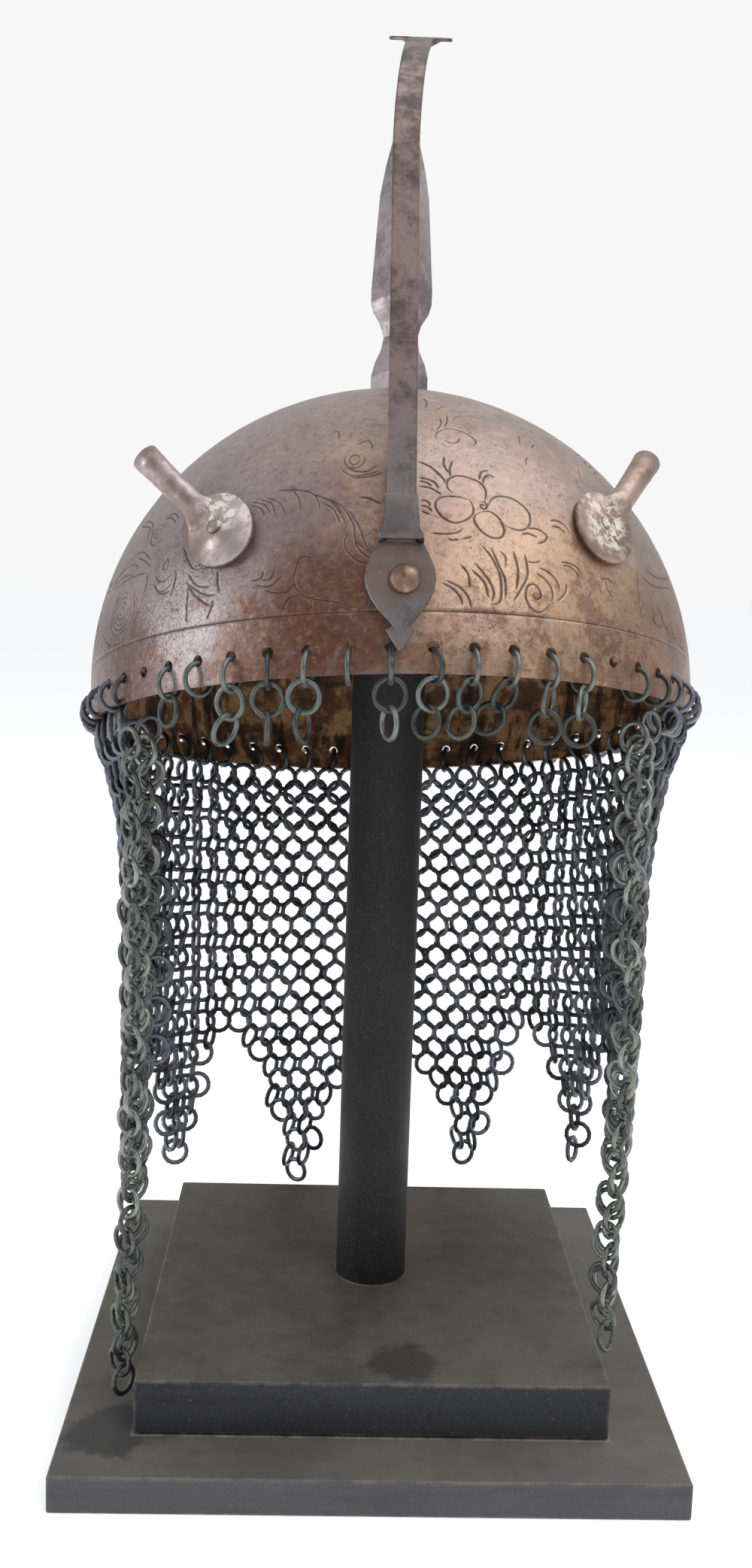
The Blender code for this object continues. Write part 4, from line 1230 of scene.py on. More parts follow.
    def cut_points(self, strokes: list[Stroke]) -> list[CutPoint]:
        """The strokes' points on the shell. The faces near them are coarser round the back.

        Args:
            strokes: What to cut.

        Returns:
            The points, stroke by stroke.
        """
        cuts: list[CutPoint] = []
        for stroke in strokes:
            last = len(stroke.places) - 1
            for index, place in enumerate(stroke.places):
                tapered = min(1.0, self.tip_width + self.swell * math.sin(math.pi * index / last))
                half = stroke.half_width * (1.0 if stroke.blunt else tapered)
                away = abs((place[0] + 180.0) % 360.0 - 180.0)
                level = self.levels - sum(away > edge for edge in self.coarser_beyond)
                cuts.append(CutPoint(SPHERE.inverted() @ on_bowl(*place), half, level, index > 0))
        return cuts

    def refine(self, bowl: bpy.types.Object, tree: KDTree, cuts: list[CutPoint]) -> None:
        """Divides the outside's faces again and again near the cuts.

        Args:
            bowl: The walled shell, in the sphere's own frame.
            tree: The cuts' points, by place.
            cuts: The same points, in drawing order.
        """
        select_only(bowl)
        bpy.ops.object.mode_set(mode="EDIT")
        bpy.ops.mesh.select_mode(type="FACE")
        for level in range(self.levels):
            size = BOWL_RADIUS * math.radians(360.0 / self.columns) / 2 ** level
            bpy.ops.mesh.select_all(action="DESELECT")
            shape = bmesh.from_edit_mesh(bowl.data)
            for face in shape.faces:
                middle = face.calc_center_median()
                if middle.length < self.outside:
                    continue
                gap, half, finest = self.nearest_cut(middle, tree, cuts)
                face.select = gap < half + size * self.margins[level] and level < finest
            bmesh.update_edit_mesh(bowl.data)
            bpy.ops.mesh.subdivide(number_cuts=1)
            shape = bmesh.from_edit_mesh(bowl.data)
            for vertex in shape.verts:
                if vertex.co.length > self.outside:
                    vertex.co = vertex.co.normalized() * BOWL_RADIUS
            bmesh.update_edit_mesh(bowl.data)
        bpy.ops.object.mode_set(mode="OBJECT")

    def carve(self, bowl: bpy.types.Object, tree: KDTree, cuts: list[CutPoint]) -> None:
        """Sinks the grooves, and stores how far into one each point is as "engraving".

        Args:
            bowl: The refined shell, in the sphere's own frame.
            tree: The cuts' points, by place.
            cuts: The same points, in drawing order.
        """
        carved = bowl.data.attributes.new("engraving", "FLOAT", "POINT")
        shares = [0.0] * len(bowl.data.vertices)
        for vertex in bowl.data.vertices:
            if vertex.co.length < self.outside:
                continue
            gap, half, _ = self.nearest_cut(vertex.co, tree, cuts)
            share = max(0.0, 1.0 - gap / half)
            if share > 0.0:
                shares[vertex.index] = min(1.0, share * self.darkest_at)
                vertex.co -= (vertex.co.normalized() * self.depth * share
                              * min(1.0, half / self.full_depth_from))
        carved.data.foreach_set("value", shares)

    @staticmethod
    def nearest_cut(point: Vector, tree: KDTree, cuts: list[CutPoint]) -> tuple[float, float, int]:
        """How far a point is from the nearest cut, half that cut's width there, and how fine its faces are.

        Args:
            point: A point on the shell.
            tree: The cuts' points, by place.
            cuts: The same points, in drawing order.

        Returns:
            The distance, the half width and the level.
        """
        _, index, gap = tree.find(point)
        half, level = cuts[index].half_width, cuts[index].level
        for end in (index, index + 1):
            if end < len(cuts) and cuts[end].joined:
                before, after = cuts[end - 1], cuts[end]
                foot, share = intersect_point_line(point, before.place, after.place)
                if 0.0 < share < 1.0 and (point - foot).length < gap:
                    gap = (point - foot).length
                    half = before.half_width + (after.half_width - before.half_width) * share
        return gap, half, level


# ---- mail


class Fineness(Enum):
    """How many faces a ring has round its hoop and round its wire."""

    WOVEN = (14, 5)
    ROPE = (16, 5)
    LOOSE = (24, 8)


@dataclass
class Ring:
    """One butted ring of round wire, modelled flat on XY with its butt towards +X."""

    radius: float
    wire: float
    fineness: Fineness
    gap: float = 0.00005
    stretch: float = 1.0
    smooth: float = 80.0

    def template(self) -> bpy.types.Object:
        """Models the ring: a disc of wire spun round the hoop until its ends nearly meet.

        Returns:
            The ring.
        """
        around, across = self.fineness.value
        select_only()
        bpy.ops.mesh.primitive_circle_add(vertices=across, radius=self.wire, fill_type="NGON",
                                          location=(self.radius, 0.0, 0.0), rotation=(math.pi / 2, 0.0, 0.0))
        ring = settle(bpy.context.object)
        ring.name = "ring_template"
        bpy.ops.object.mode_set(mode="EDIT")
        bpy.ops.mesh.select_all(action="SELECT")
        bpy.ops.mesh.spin(steps=around, angle=FULL_TURN - self.gap / self.radius, center=(0.0, 0.0, 0.0),
                          axis=UP)
        bpy.ops.mesh.select_all(action="SELECT")
        bpy.ops.mesh.normals_make_consistent(inside=False)
        bpy.ops.object.mode_set(mode="OBJECT")
        ring.scale = (self.stretch, 1.0, 1.0)
        settle(ring)
        bpy.ops.object.shade_smooth_by_angle(angle=math.radians(self.smooth))
        return ring


def ring_place(centre: Vector, normal: Vector, butt: float) -> Matrix:
    """Where a flat ring goes: its middle, the way that its plane faces, and how far round its butt is turned.

    Args:
        centre: The ring's middle.
        normal: The direction across its plane.
        butt: How far the butt is turned in the plane, in radians.

    Returns:
        The matrix for the ring's mesh.
    """
    across = normal.normalized()
    first = UP.cross(across)
    if first.length < 1e-6:
        first = Vector((1.0, 0.0, 0.0))
    first.normalize()
    turn = Matrix((first, across.cross(first), across)).transposed().to_4x4()
    return Matrix.Translation(centre) @ turn @ Matrix.Rotation(butt, 4, "Z")


@dataclass
class MailCurtain:
    """The mail that hangs from the rim round the back and the sides, with dags along its hem."""

    radius: float = 0.00462
    wire: float = 0.00096
    columns: int = 48
    widest: float = 1.09
    closest: float = 0.92
    first_drop: float = 0.0046
    spacing: Spot = (0.0054, 0.0067)
    evenly_spaced_from: float = 0.045
    lowest: float = 0.19
    hem_slack: float = 0.0010
    fullness: float = 1.12
    flattest: float = 0.97
    gather: float = 0.30
    gathered_between: Spot = (0.100, 0.170)
    pull: float = 0.0130
    pull_depth: float = 0.022
    pulled_between: Spot = (40.0, 90.0)
    closer_between: Spot = (12.0, 65.0)
    spaced_at: float = 0.05
    side_margin: float = 0.004
    span: Spot = (57.5, 302.5)
    hem: tuple[tuple[float, float], ...] = (
        (57.5, .118), (73.0, .112), (91.0, .170), (108.0, .108), (124.0, .166), (141.0, .106), (155.0, .180),
        (176.5, .112), (198.0, .184), (215.5, .106), (232.0, .173), (250.0, .110), (267.0, .172),
        (286.0, .112), (302.5, .118))
    pieces: tuple[tuple[str, float, float], ...] = (
        ("mail_right_side", 0.0, 130.0), ("mail_back", 130.0, 230.0), ("mail_left_side", 230.0, 360.0))
    seed: int = 41
    lean_jitter: float = 4.0
    nod: Spot = (-0.10, 0.14)
    height_jitter: float = 0.0004
    level_jitter: float = 0.0003
    hole_span: float = 2.0
    hole_drop: float = 0.006
    hole_reach: float = 0.86
    hole_depth: float = 0.0004
    hole_jitter: float = 0.2
    finish: RingIron = RingIron("mail_iron", paint(128, 131, 139), paint(66, 67, 72), stained=0.15)

    def point(self, azimuth: float, drop: float) -> Vector:
        """A place on the hanging mail, so far below the rim.

        Args:
            azimuth: Degrees round the bowl.
            drop: Metres below the rim.

        Returns:
            The place in the row frame.
        """
        rim_tall = math.asin((RIM_HEIGHT - SPHERE_HEIGHT) / BOWL_RADIUS)
        rim_radius = BOWL_RADIUS * math.cos(rim_tall) - BOWL_WALL / 2
        out = outward(azimuth)
        rim = HELMET @ (rim_radius * out + Vector((0.0, 0.0, RIM_HEIGHT)))
        side = smooth_share(abs(180.0 - azimuth), *self.pulled_between)
        inward = self.pull * side * (1.0 - math.exp(-drop / self.pull_depth))
        return rim - out * inward - Vector((0.0, 0.0, drop))

    def azimuths(self) -> list[float]:
        """Azimuths of half columns, evenly spaced along the mail and not round the bowl.

        Returns:
            The azimuths in degrees.
        """
        steps = 490
        marks = [self.span[0] + (self.span[1] - self.span[0]) * i / steps for i in range(steps + 1)]
        run = [0.0]
        for a, b in zip(marks, marks[1:]):
            side = smooth_share(abs(180.0 - a), *self.closer_between)
            closeness = self.widest + side * (self.closest - self.widest)
            length = (self.point(b, self.spaced_at) - self.point(a, self.spaced_at)).length
            run.append(run[-1] + length / closeness)
        table = list(zip(run, marks))
        count = 2 * self.columns - 1
        shares = [self.side_margin + (1 - 2 * self.side_margin) * i / count for i in range(count + 1)]
        return [between(run[-1] * share, table)[0] for share in shares]

    def gathered(self, azimuth: float, drop: float) -> float:
        """An azimuth drawn in towards the middle line of its dag, more so lower down.

        Args:
            azimuth: Degrees round the bowl.
            drop: Metres below the rim.

        Returns:
            The azimuth that it is drawn to.
        """
        tips = [a for (_, b), (a, tip), (_, c) in zip(self.hem, self.hem[1:], self.hem[2:])
                if tip > max(b, c)]
        tip = min(tips, key=lambda a: abs(a - azimuth))
        return azimuth + (tip - azimuth) * self.gather * smooth_share(drop, *self.gathered_between)

    def drops(self) -> list[float]:
        """How far below the rim each row's middle hangs: close at the top, wider lower down.

        Returns:
            The rows' distances below the rim, from the top down.
        """
        found = [self.first_drop]
        while found[-1] < self.lowest:
            share = smooth_share(found[-1], 0.0, self.evenly_spaced_from)
            found.append(found[-1] + self.spacing[0] + share * (self.spacing[1] - self.spacing[0]))
        return found

    def frame_at(self, azimuth: float, drop: float) -> tuple[Vector, Vector]:
        """The mail's outward and sideways directions at a place."""
        side = (self.point(azimuth + 1.0, drop) - self.point(azimuth - 1.0, drop)).normalized()
        return side.cross(UP).normalized(), side

    def lean_at(self, azimuth: float, step: float, drop: float) -> float:
        """How far a ring turns from facing out, in degrees: further where the columns are closer.

        Args:
            azimuth: The ring's azimuth.
            step: How far away the next half column is, in degrees.
            drop: Metres below the rim.

        Returns:
            The turn in degrees.
        """
        pitch = (self.point(azimuth + step, drop) - self.point(azimuth - step, drop)).length
        width = min(self.flattest, self.fullness * pitch / (2.0 * (self.radius + self.wire)))
        return math.degrees(math.acos(width))

    def places(self, rng: random.Random) -> list[tuple[float, Matrix]]:
        """Each woven ring's azimuth and matrix. A ring hangs only where one above it can carry it.

        Args:
            rng: Gives each ring its disorder.

        Returns:
            The rings' azimuths and matrices, row by row.
        """
        made = []
        columns = self.azimuths()
        above = set(range(-1, len(columns) + 1))
        for row, drop in enumerate(self.drops()):
            here = [index for index in range(row % 2, len(columns), 2)
                    if drop + self.radius <= between(columns[index], self.hem)[0] + self.hem_slack
                    and {index - 1, index + 1} & above]
            made += [self.woven(columns, index, drop, 1 if row % 2 else -1, rng) for index in here]
            above = set(here)
        return made

    def woven(self, columns: list[float], index: int, drop: float, way: int,
              rng: random.Random) -> tuple[float, Matrix]:
        """One woven ring.

        Args:
            columns: The half columns' azimuths.
            index: The half column that the ring hangs in.
            drop: How far its middle hangs below the rim.
            way: The way that its row leans, 1 or -1.
            rng: Gives it its disorder.

        Returns:
            Its azimuth and its matrix.
        """
        last = len(columns) - 1
        before, azimuth, after = (self.gathered(columns[max(0, min(last, place))], drop)
                                  for place in (index - 1, index, index + 1))
        out, side = self.frame_at(azimuth, drop)
        lean = self.lean_at(azimuth, (after - before) / 2, drop) + jitter(rng, self.lean_jitter)
        lean = math.radians(lean) * way
        normal = out * math.cos(lean) + side * math.sin(lean) + UP * rng.uniform(*self.nod)
        centre = self.point(azimuth, drop) + UP * jitter(rng, self.height_jitter)
        centre += side * jitter(rng, self.level_jitter) + out * jitter(rng, self.level_jitter)
        return azimuth, ring_place(centre, normal, rng.uniform(0.0, FULL_TURN))

    def connectors(self, rng: random.Random) -> list[tuple[float, Matrix]]:
        """The rings through the rim's holes, each edge-on and leaning to the nearest woven ring.

        Args:
            rng: Gives each ring its disorder.

        Returns:
            The rings' azimuths and matrices.
        """
        made = []
        first_row = self.azimuths()[::2]
        for index in range(HOLE_COUNT):
            azimuth = (HOLE_START + index * 360.0 / HOLE_COUNT) % 360.0
            if not self.span[0] - self.hole_span < azimuth < self.span[1] + self.hole_span:
                continue
            hole = hole_place(index)
            nearest = min(first_row, key=lambda a: abs(a - azimuth))
            down = self.point(nearest, self.first_drop) - hole
            down.z = min(down.z, -self.hole_drop)
            down.normalize()
            out, side = self.frame_at(azimuth, 0.0)
            centre = hole + down * self.radius * self.hole_reach - out * self.hole_depth
            normal = (side + out * jitter(rng, self.hole_jitter)).normalized()
            normal = (normal - down * normal.dot(down)).normalized()
            made.append((azimuth, ring_place(centre, normal, rng.uniform(0.0, FULL_TURN))))
        return made

    def build(self) -> list[bpy.types.Object]:
        """Hangs the mail in three pieces: the left side, the back and the right side.

        Returns:
            The three pieces.
        """
        rng = random.Random(self.seed)
        ring = Ring(self.radius, self.wire, Fineness.WOVEN).template()
        rings = self.places(rng) + self.connectors(rng)
        material = self.finish.material()
        pieces = []
        for name, low, high in self.pieces:
            part = [matrix for azimuth, matrix in rings if low <= azimuth < high]
            piece = copies(ring, part, name, rng)
            piece.data.materials.append(material)
            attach(piece, FIXED_BODY)
            LOG.info("%s: %d rings", name, len(part))
            pieces.append(piece)
        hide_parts("mail_curtain")
        discard(ring)
        return pieces


@dataclass
class MailRope:
    """One front edge of the mail, gathered into a hanging rope two rings deep."""

    side: str
    stations: tuple[tuple[float, float, float, float], ...]
    seed: int
    radius: float = 0.00462
    wire: float = 0.00086
    spacing: float = 0.0068
    end_room: float = 0.9
    yaw: float = 48.0
    yaw_jitter: float = 9.0
    nod: float = 0.15
    sway: float = 0.0009
    ring_share: float = 0.0040
    spread: float = 0.8
    layer_depth: float = 0.0013
    layer_drop: float = 0.25
    side_jitter: float = 0.0004
    height_jitter: float = 0.0006
    finish: RingIron = RingIron("rope_iron", paint(154, 158, 151), paint(88, 92, 90), stained=0.15)

    def places(self, rng: random.Random) -> list[Matrix]:
        """The rings' matrices, from the rim down to the single ring at the lower end.

        Args:
            rng: Gives each ring its disorder.

        Returns:
            The matrices.
        """
        lowest = self.stations[-1][0] + self.radius * self.end_room
        height = self.stations[0][0] - self.radius
        made = []
        row = 0
        while height > lowest:
            x, y, half = between(height, self.stations)
            spread = max(0.0, half - self.ring_share) * self.spread
            for layer in (-1, 1) if height - self.spacing > lowest else (-1,):
                way = 1 if (row + (layer > 0)) % 2 else -1
                lean = math.radians(self.yaw + jitter(rng, self.yaw_jitter)) * way
                normal = Vector((math.sin(lean), -math.cos(lean), jitter(rng, self.nod)))
                aside = x + way * self.sway + layer * spread + jitter(rng, self.side_jitter)
                tall = height + layer * self.spacing * self.layer_drop + jitter(rng, self.height_jitter)
                centre = Vector((aside, y + layer * self.layer_depth, tall))
                made.append(ring_place(centre, normal, rng.uniform(0.0, FULL_TURN)))
            height -= self.spacing
            row += 1
        return made

    def build(self) -> bpy.types.Object:
        """Hangs the rope in the CAD rope's place.

        Returns:
            The rope.
        """
        rng = random.Random(self.seed)
        ring = Ring(self.radius, self.wire, Fineness.ROPE).template()
        places = self.places(rng)
        piece = copies(ring, places, f"mail_rope_{self.side}", rng)
        piece.data.materials.append(self.finish.material())
        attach(piece, FIXED_BODY)
        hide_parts(f"mail_lappet_{self.side}")
        discard(ring)
        LOG.info("%s: %d rings", piece.name, len(places))
        return piece


LEFT_ROPE = ((0.2395, -0.0775, -0.0630, 0.0062), (0.2250, -0.0765, -0.0625, 0.0064),
             (0.1950, -0.0775, -0.0615, 0.0058), (0.1500, -0.0775, -0.0610, 0.0050),
             (0.1050, -0.0780, -0.0605, 0.0047), (0.0700, -0.0792, -0.0600, 0.0045),
             (0.0400, -0.0812, -0.0600, 0.0042), (0.0180, -0.0816, -0.0600, 0.0036))
RIGHT_ROPE = ((0.2445, 0.0785, -0.0625, 0.0062), (0.2300, 0.0760, -0.0625, 0.0064),
              (0.2000, 0.0770, -0.0620, 0.0058), (0.1480, 0.0790, -0.0615, 0.0050),
              (0.1150, 0.0780, -0.0610, 0.0048), (0.0820, 0.0765, -0.0610, 0.0045),
              (0.0500, 0.0762, -0.0610, 0.0042), (0.0350, 0.0762, -0.0610, 0.0034))


@dataclass
class LooseRings:
    """The odd rings left in the front holes, one finer ring for each ring of the CAD."""

    wire: float = 0.00080
    seed: int = 12
    narrow: float = 0.955
    stretch: float = 1.045
    first_guess: Vector = Vector((0.31, 0.52, 0.79))
    normal_rounds: int = 60
    length_rounds: int = 90
    finish: RingIron = RingIron("loose_ring_iron", paint(126, 132, 128), paint(70, 74, 72))

    def place_of(self, node: bpy.types.Object) -> tuple[Matrix, float]:
        """Where a CAD ring lies, read from its points.

        Args:
            node: The CAD ring.

        Returns:
            The matrix for a flat ring, and the CAD ring's middle radius.
        """
        points = [vertex.co.copy() for vertex in node.data.vertices]
        centre = sum(points, Vector()) / len(points)
        spread = Matrix(((0.0,) * 3,) * 3)
        for point in points:
            away = point - centre
            for i in range(3):
                for j in range(3):
                    spread[i][j] += away[i] * away[j]
        thin = spread.inverted()
        normal = self.first_guess
        for _ in range(self.normal_rounds):
            normal = (thin @ normal).normalized()
        longest = self.first_guess.cross(normal)
        for _ in range(self.length_rounds):
            longest = spread @ longest
            longest = (longest - normal * longest.dot(normal)).normalized()
        reach = max(abs((point - centre).dot(longest)) for point in points)
        turn = Matrix((longest, normal.cross(longest), normal)).transposed().to_4x4()
        return Matrix.Translation(centre) @ turn, reach

    def build(self) -> bpy.types.Object:
        """Places a finer ring on each CAD ring.

        Returns:
            The rings, as one piece.
        """
        rng = random.Random(self.seed)
        nodes = sorted(name for name in frame["nodes"] if name.startswith("rim_ring"))
        places, reaches = zip(*(self.place_of(frame["nodes"][name]) for name in nodes))
        mean = sum(reaches) / len(reaches) - self.wire
        ring = Ring(mean * self.narrow, self.wire, Fineness.LOOSE, stretch=self.stretch).template()
        piece = copies(ring, places, "rim_rings", rng)
        piece.data.materials.append(self.finish.material())
        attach(piece, FIXED_BODY)
        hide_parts(*nodes)
        discard(ring)
        LOG.info("rim rings: %d, %.2f mm across", len(nodes), mean * 2000)
        return piece


# ---- fittings and stand


class Fitting(NamedTuple):
    """One fitting: its CAD node, its material slot, and the sharpest smooth corner, in degrees."""

    node: str
    slot: str
    smooth: float


@dataclass
class Fittings:
    """The spike, the sliding nasal bar with its bracket, and the two plume holders."""

    bracket_slim: float = 0.00460
    bracket_thin: float = 0.00085
    bracket_start: float = 0.15
    merge: float = 0.000002

    def finishes(self) -> list[tuple[FittingSteel, tuple[Fitting, ...]]]:
        """Each finish, with the fittings that take it.

        Returns:
            The finishes and their fittings.
        """
        rivets = {side: sum(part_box(f"plume_rivet_{side}"), Vector()) / 2 for side in ("left", "right")}
        boss = sum(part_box("nasal_boss"), Vector()) / 2
        return [
            (FittingSteel("spike_steel", paint(166, 156, 158), paint(126, 116, 118), cloud_scale=40.0,
                          low_tone=paint(92, 86, 88), low_height=(0.345, 0.372)),
             (Fitting("spike", "fitting_steel", 14.0),)),
            # the bar's blue-grey low tone is partly the steel's bluish corrosion and partly a painted
            # reflection
            (FittingSteel("bar_steel", paint(132, 114, 110), paint(86, 76, 76), cloud_scale=70.0,
                          low_tone=paint(106, 108, 109), low_height=(0.305, 0.375), crust=paint(104, 84, 74),
                          crusted=1.15, crust_centre=boss + Vector((0.0, 0.0, 0.003)), crust_reach=0.0085),
             (Fitting("nasal_bar", "fitting_steel", 18.0), Fitting("nasal_bracket", "fitting_steel", 28.0))),
            (FittingSteel("boss_steel", paint(176, 150, 130), paint(118, 94, 80)),
             (Fitting("nasal_boss", "fitting_steel", 50.0),)),
            (FittingSteel("left_holder_steel", paint(180, 167, 165), paint(140, 121, 115), metallic=0.6,
                          crusted=0.70, crust_centre=rivets["left"] + Vector((0.001, 0.0, 0.0065)),
                          crust_reach=0.0055), self.holder("left")),
            (FittingSteel("right_holder_steel", paint(176, 154, 143), paint(140, 117, 106), metallic=0.6,
                          crusted=0.70, crust_centre=rivets["right"] + Vector((-0.0015, 0.0, -0.0005)),
                          crust_reach=0.0095), self.holder("right")),
        ]

    @staticmethod
    def holder(side: str) -> tuple[Fitting, ...]:
        """One side's plume holder and its rivet."""
        return (Fitting(f"plume_holder_{side}", "holder_steel", 50.0),
                Fitting(f"plume_rivet_{side}", "holder_steel", 50.0))

    def dress(self) -> None:
        """Smooths each fitting and gives it its finish."""
        for finish, fittings in self.finishes():
            material = finish.material()
            for fitting in fittings:
                piece = self.smoothed(fitting)
                piece.data.materials.clear()
                piece.data.materials.append(material)
                LOG.info("dressed %s", piece.name)

    def smoothed(self, fitting: Fitting) -> bpy.types.Object:
        """A merged copy of a fitting's CAD mesh, shaded smooth but for its corners, in the node's place.

        Args:
            fitting: The fitting to copy.

        Returns:
            The new piece.
        """
        node = frame["nodes"][fitting.node]
        piece = bpy.data.objects.new(f"{fitting.node}_finished", node.data.copy())
        bpy.context.scene.collection.objects.link(piece)
        select_only(piece)
        bpy.ops.object.mode_set(mode="EDIT")
        bpy.ops.mesh.select_all(action="SELECT")
        bpy.ops.mesh.remove_doubles(threshold=self.merge)
        bpy.ops.mesh.normals_make_consistent(inside=False)
        bpy.ops.object.mode_set(mode="OBJECT")
        if fitting.node == "nasal_bracket":
            self.flare(piece)
        bpy.ops.object.shade_smooth_by_angle(angle=math.radians(fitting.smooth))
        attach(piece, node["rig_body"])
        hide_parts(fitting.node)
        return piece

    def flare(self, bracket: bpy.types.Object) -> None:
        """Draws the bracket in above its foot, so that it widens and thickens gently downwards.

        Args:
            bracket: The copy of the bracket to reshape.
        """
        up = -Vector(frame["joints"][0]["axis"]).normalized()
        reach = [vertex.co @ up for vertex in bracket.data.vertices]
        low, high = min(reach), max(reach)
        sides = [vertex.co.x for vertex in bracket.data.vertices]
        middle = (min(sides) + max(sides)) / 2
        ahead = Vector((0.0, -up.z, up.y))
        front = max(vertex.co @ ahead for vertex in bracket.data.vertices)
        for vertex, place in zip(bracket.data.vertices, reach):
            share = smooth_share((place - low) / (high - low), self.bracket_start, 1.0)
            if front - vertex.co @ ahead < self.bracket_thin:
                vertex.co -= ahead * self.bracket_thin * share
            half = abs(vertex.co.x - middle)
            if half > self.bracket_slim and share > 0.0:
                slim = half + (self.bracket_slim - half) * share
                vertex.co.x = middle + math.copysign(slim, vertex.co.x - middle)


class Painted(NamedTuple):
    """One piece of the stand: its node, paint, dust, stains as (x, y, reach), and the piece on top of it."""

    node: str
    body: Colour
    dusty: float
    stains: tuple[tuple[float, float, float], ...] = ()
    above: str = ""


@dataclass
class Stand:
    """The stand's two boards and its post, in charcoal paint."""

    pieces: tuple[Painted, ...] = (
        Painted("stand_base", paint(80, 80, 84), 0.62, ((-0.083, -0.075, 0.010),), "stand_plinth"),
        Painted("stand_plinth", paint(52, 53, 58), 0.66, ((0.010, -0.062, 0.008),), "stand_post"),
        Painted("stand_post", paint(27, 27, 29), 0.20))

    def dress(self) -> None:
        """Gives each piece of the stand its paint."""
        for piece in self.pieces:
            low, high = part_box(piece.node)
            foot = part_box(piece.above) if piece.above else None
            finish = StandPaint(f"{piece.node}_paint", tuple(low), tuple(high), piece.body, piece.stains,
                                dusty=piece.dusty, foot=foot, rounded=not piece.above)
            node = frame["nodes"][piece.node]
            node.data.materials.clear()
            node.data.materials.append(finish.material())
            LOG.info("dressed %s", piece.node)


# ---- studio


class Lamp(NamedTuple):
    """A soft rectangular light: where it hangs, what it faces, its size in metres and its power in watts."""

    name: str
    place: tuple[float, float, float]
    target: tuple[float, float, float]
    size: Spot
    power: float

    def hang(self) -> None:
        """Adds the light to the scene."""
        data = bpy.data.lights.new(self.name, "AREA")
        data.shape = "RECTANGLE"
        data.size, data.size_y = self.size
        data.energy = self.power
        lamp = bpy.data.objects.new(self.name, data)
        bpy.context.scene.collection.objects.link(lamp)
        lamp.location = self.place
        lamp.rotation_euler = (Vector(self.target) - Vector(self.place)).to_track_quat("-Z", "Y").to_euler()


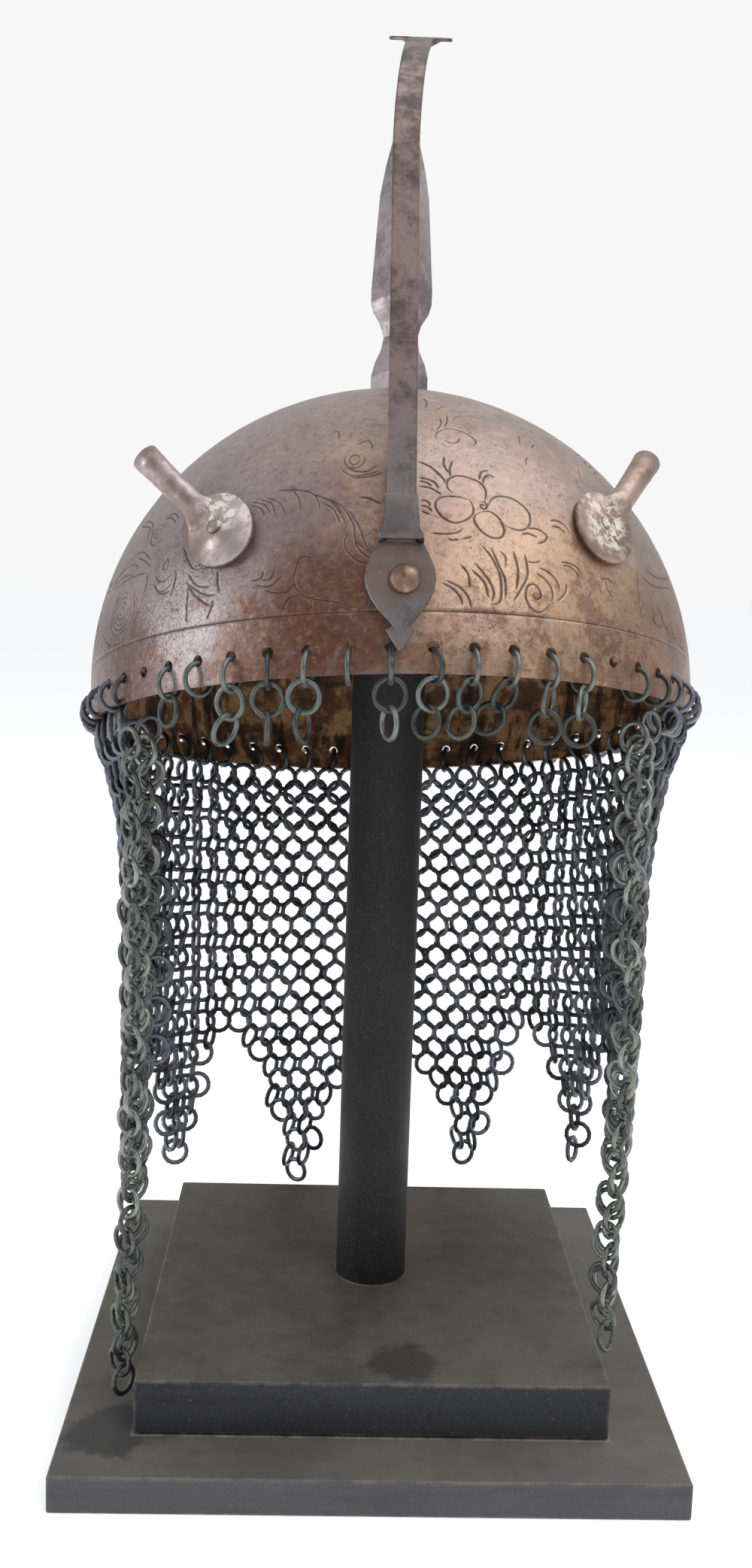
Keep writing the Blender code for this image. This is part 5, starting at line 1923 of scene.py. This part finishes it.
@dataclass
class Studio:
    """A pale floor, soft lights and the camera."""

    camera_place: Vector = Vector((-0.01802, -0.5119, 0.28875))
    camera_right: Vector = Vector((0.99918, -0.02597, 0.03095))
    camera_up: Vector = Vector((-0.02677, 0.14828, 0.98858))
    camera_ahead: Vector = Vector((0.03026, 0.98860, -0.14746))
    lens: float = 33.83
    floor_size: float = 30.0
    backdrop: float = 0.93
    sky_tint: tuple[float, float, float, float] = (0.95, 0.97, 1.0, 1.0)
    upward: tuple[float, ...] = (-0.05, 0.85, 0.42, 0.85)
    behind: tuple[float, ...] = (-0.9, 0.1, 0.30, 1.0)
    lamps: tuple[Lamp, ...] = (
        Lamp("window", (-1.30, -0.30, 0.58), (-0.06, -0.08, 0.25), (0.40, 0.62), 5.2),
        Lamp("fill", (0.75, -1.0, 1.25), (0.0, 0.0, 0.25), (0.9, 0.9), 7.6),
        Lamp("top", (0.5, 0.0, 1.5), (0.0, 0.0, 0.3), (1.1, 1.1), 7.6))

    def build(self) -> None:
        """Sets up the floor, the sky, the lights and the camera."""
        self.floor()
        self.sky()
        for lamp in self.lamps:
            lamp.hang()
        self.camera()

    def floor(self) -> None:
        """Lays the pale floor, which glows as painted light, a little brighter near the stand."""
        select_only()
        bpy.ops.mesh.primitive_plane_add(size=self.floor_size)
        floor = bpy.context.object
        floor.name = "floor"
        make = Recipe("glowing_floor_paper")
        mottle = make.noise(3.0, 2.0, 0.5)
        # The floor glows as painted light, most within 0.4 m of the middle and fading out by 2.6 m: a painted
        # pool of light round the stand.
        floor.data.materials.append(make.finish(
            base_color=make.blend(mottle, (0.88, 0.88, 0.88), (0.92, 0.92, 0.92)), roughness=0.9,
            metallic=0.0, emission_color=(1.0, 1.0, 1.0),
            emission_strength=make.ease(make.near((0.0, 0.0, 0.0), 0.4, 2.2), 0.0, 1.0, 0.385, 0.43)))

    def sky(self) -> None:
        """A bright even backdrop, which lights the object more softly than it looks."""
        world = bpy.data.worlds.new("studio")
        bpy.context.scene.world = world
        world.use_nodes = True
        nodes, links = world.node_tree.nodes, world.node_tree.links
        seen = nodes["Background"]
        seen.inputs["Color"].default_value = (1.0, 1.0, 1.0, 1.0)
        seen.inputs["Strength"].default_value = self.backdrop
        light = nodes.new("ShaderNodeBackground")
        around = nodes.new("ShaderNodeSeparateXYZ")
        links.new(nodes.new("ShaderNodeTexCoord").outputs["Generated"], around.inputs[0])
        above = self.ramp(world.node_tree, around.outputs["Z"], self.upward)
        behind = self.ramp(world.node_tree, around.outputs["Y"], self.behind)
        glow = nodes.new("ShaderNodeMath")
        glow.operation = "MULTIPLY"
        links.new(above, glow.inputs[0])
        links.new(behind, glow.inputs[1])
        links.new(glow.outputs[0], light.inputs["Strength"])
        light.inputs["Color"].default_value = self.sky_tint
        rays = nodes.new("ShaderNodeLightPath")
        mix = nodes.new("ShaderNodeMixShader")
        links.new(rays.outputs["Is Camera Ray"], mix.inputs[0])
        links.new(light.outputs[0], mix.inputs[1])
        links.new(seen.outputs[0], mix.inputs[2])
        links.new(mix.outputs[0], nodes["World Output"].inputs["Surface"])

    @staticmethod
    def ramp(tree: bpy.types.NodeTree, source: Socket, limits: Sequence[float]) -> Socket:
        """A value carried from one range to another.

        Args:
            tree: The world's nodes.
            source: The value.
            limits: Its lowest and highest, and what they become.

        Returns:
            The carried value.
        """
        node = tree.nodes.new("ShaderNodeMapRange")
        tree.links.new(source, node.inputs[0])
        for socket, limit in zip(list(node.inputs)[1:], limits):
            socket.default_value = limit
        return node.outputs[0]

    def camera(self) -> None:
        """Places the camera in front of the helmet, a little above its rim."""
        data = bpy.data.cameras.new("camera")
        data.lens = self.lens
        data.sensor_width = 36.0
        data.sensor_fit = "AUTO"
        data.clip_start = 0.01
        camera = bpy.data.objects.new("camera", data)
        bpy.context.scene.collection.objects.link(camera)
        turn = Matrix((self.camera_right, self.camera_up, -self.camera_ahead)).transposed().to_4x4()
        camera.matrix_world = Matrix.Translation(self.camera_place) @ turn
        bpy.context.scene.camera = camera


def main() -> None:
    """Builds and dresses every piece."""
    logging.basicConfig(level=logging.INFO, format="%(message)s", stream=sys.stdout)
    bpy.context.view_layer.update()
    Studio().build()
    Bowl().build()
    MailCurtain().build()
    MailRope("left", LEFT_ROPE, seed=7).build()
    MailRope("right", RIGHT_ROPE, seed=8).build()
    LooseRings().build()
    Fittings().dress()
    Stand().dress()
    bpy.context.scene.view_settings.view_transform = "Standard"


if __name__ == "__main__":
    main()
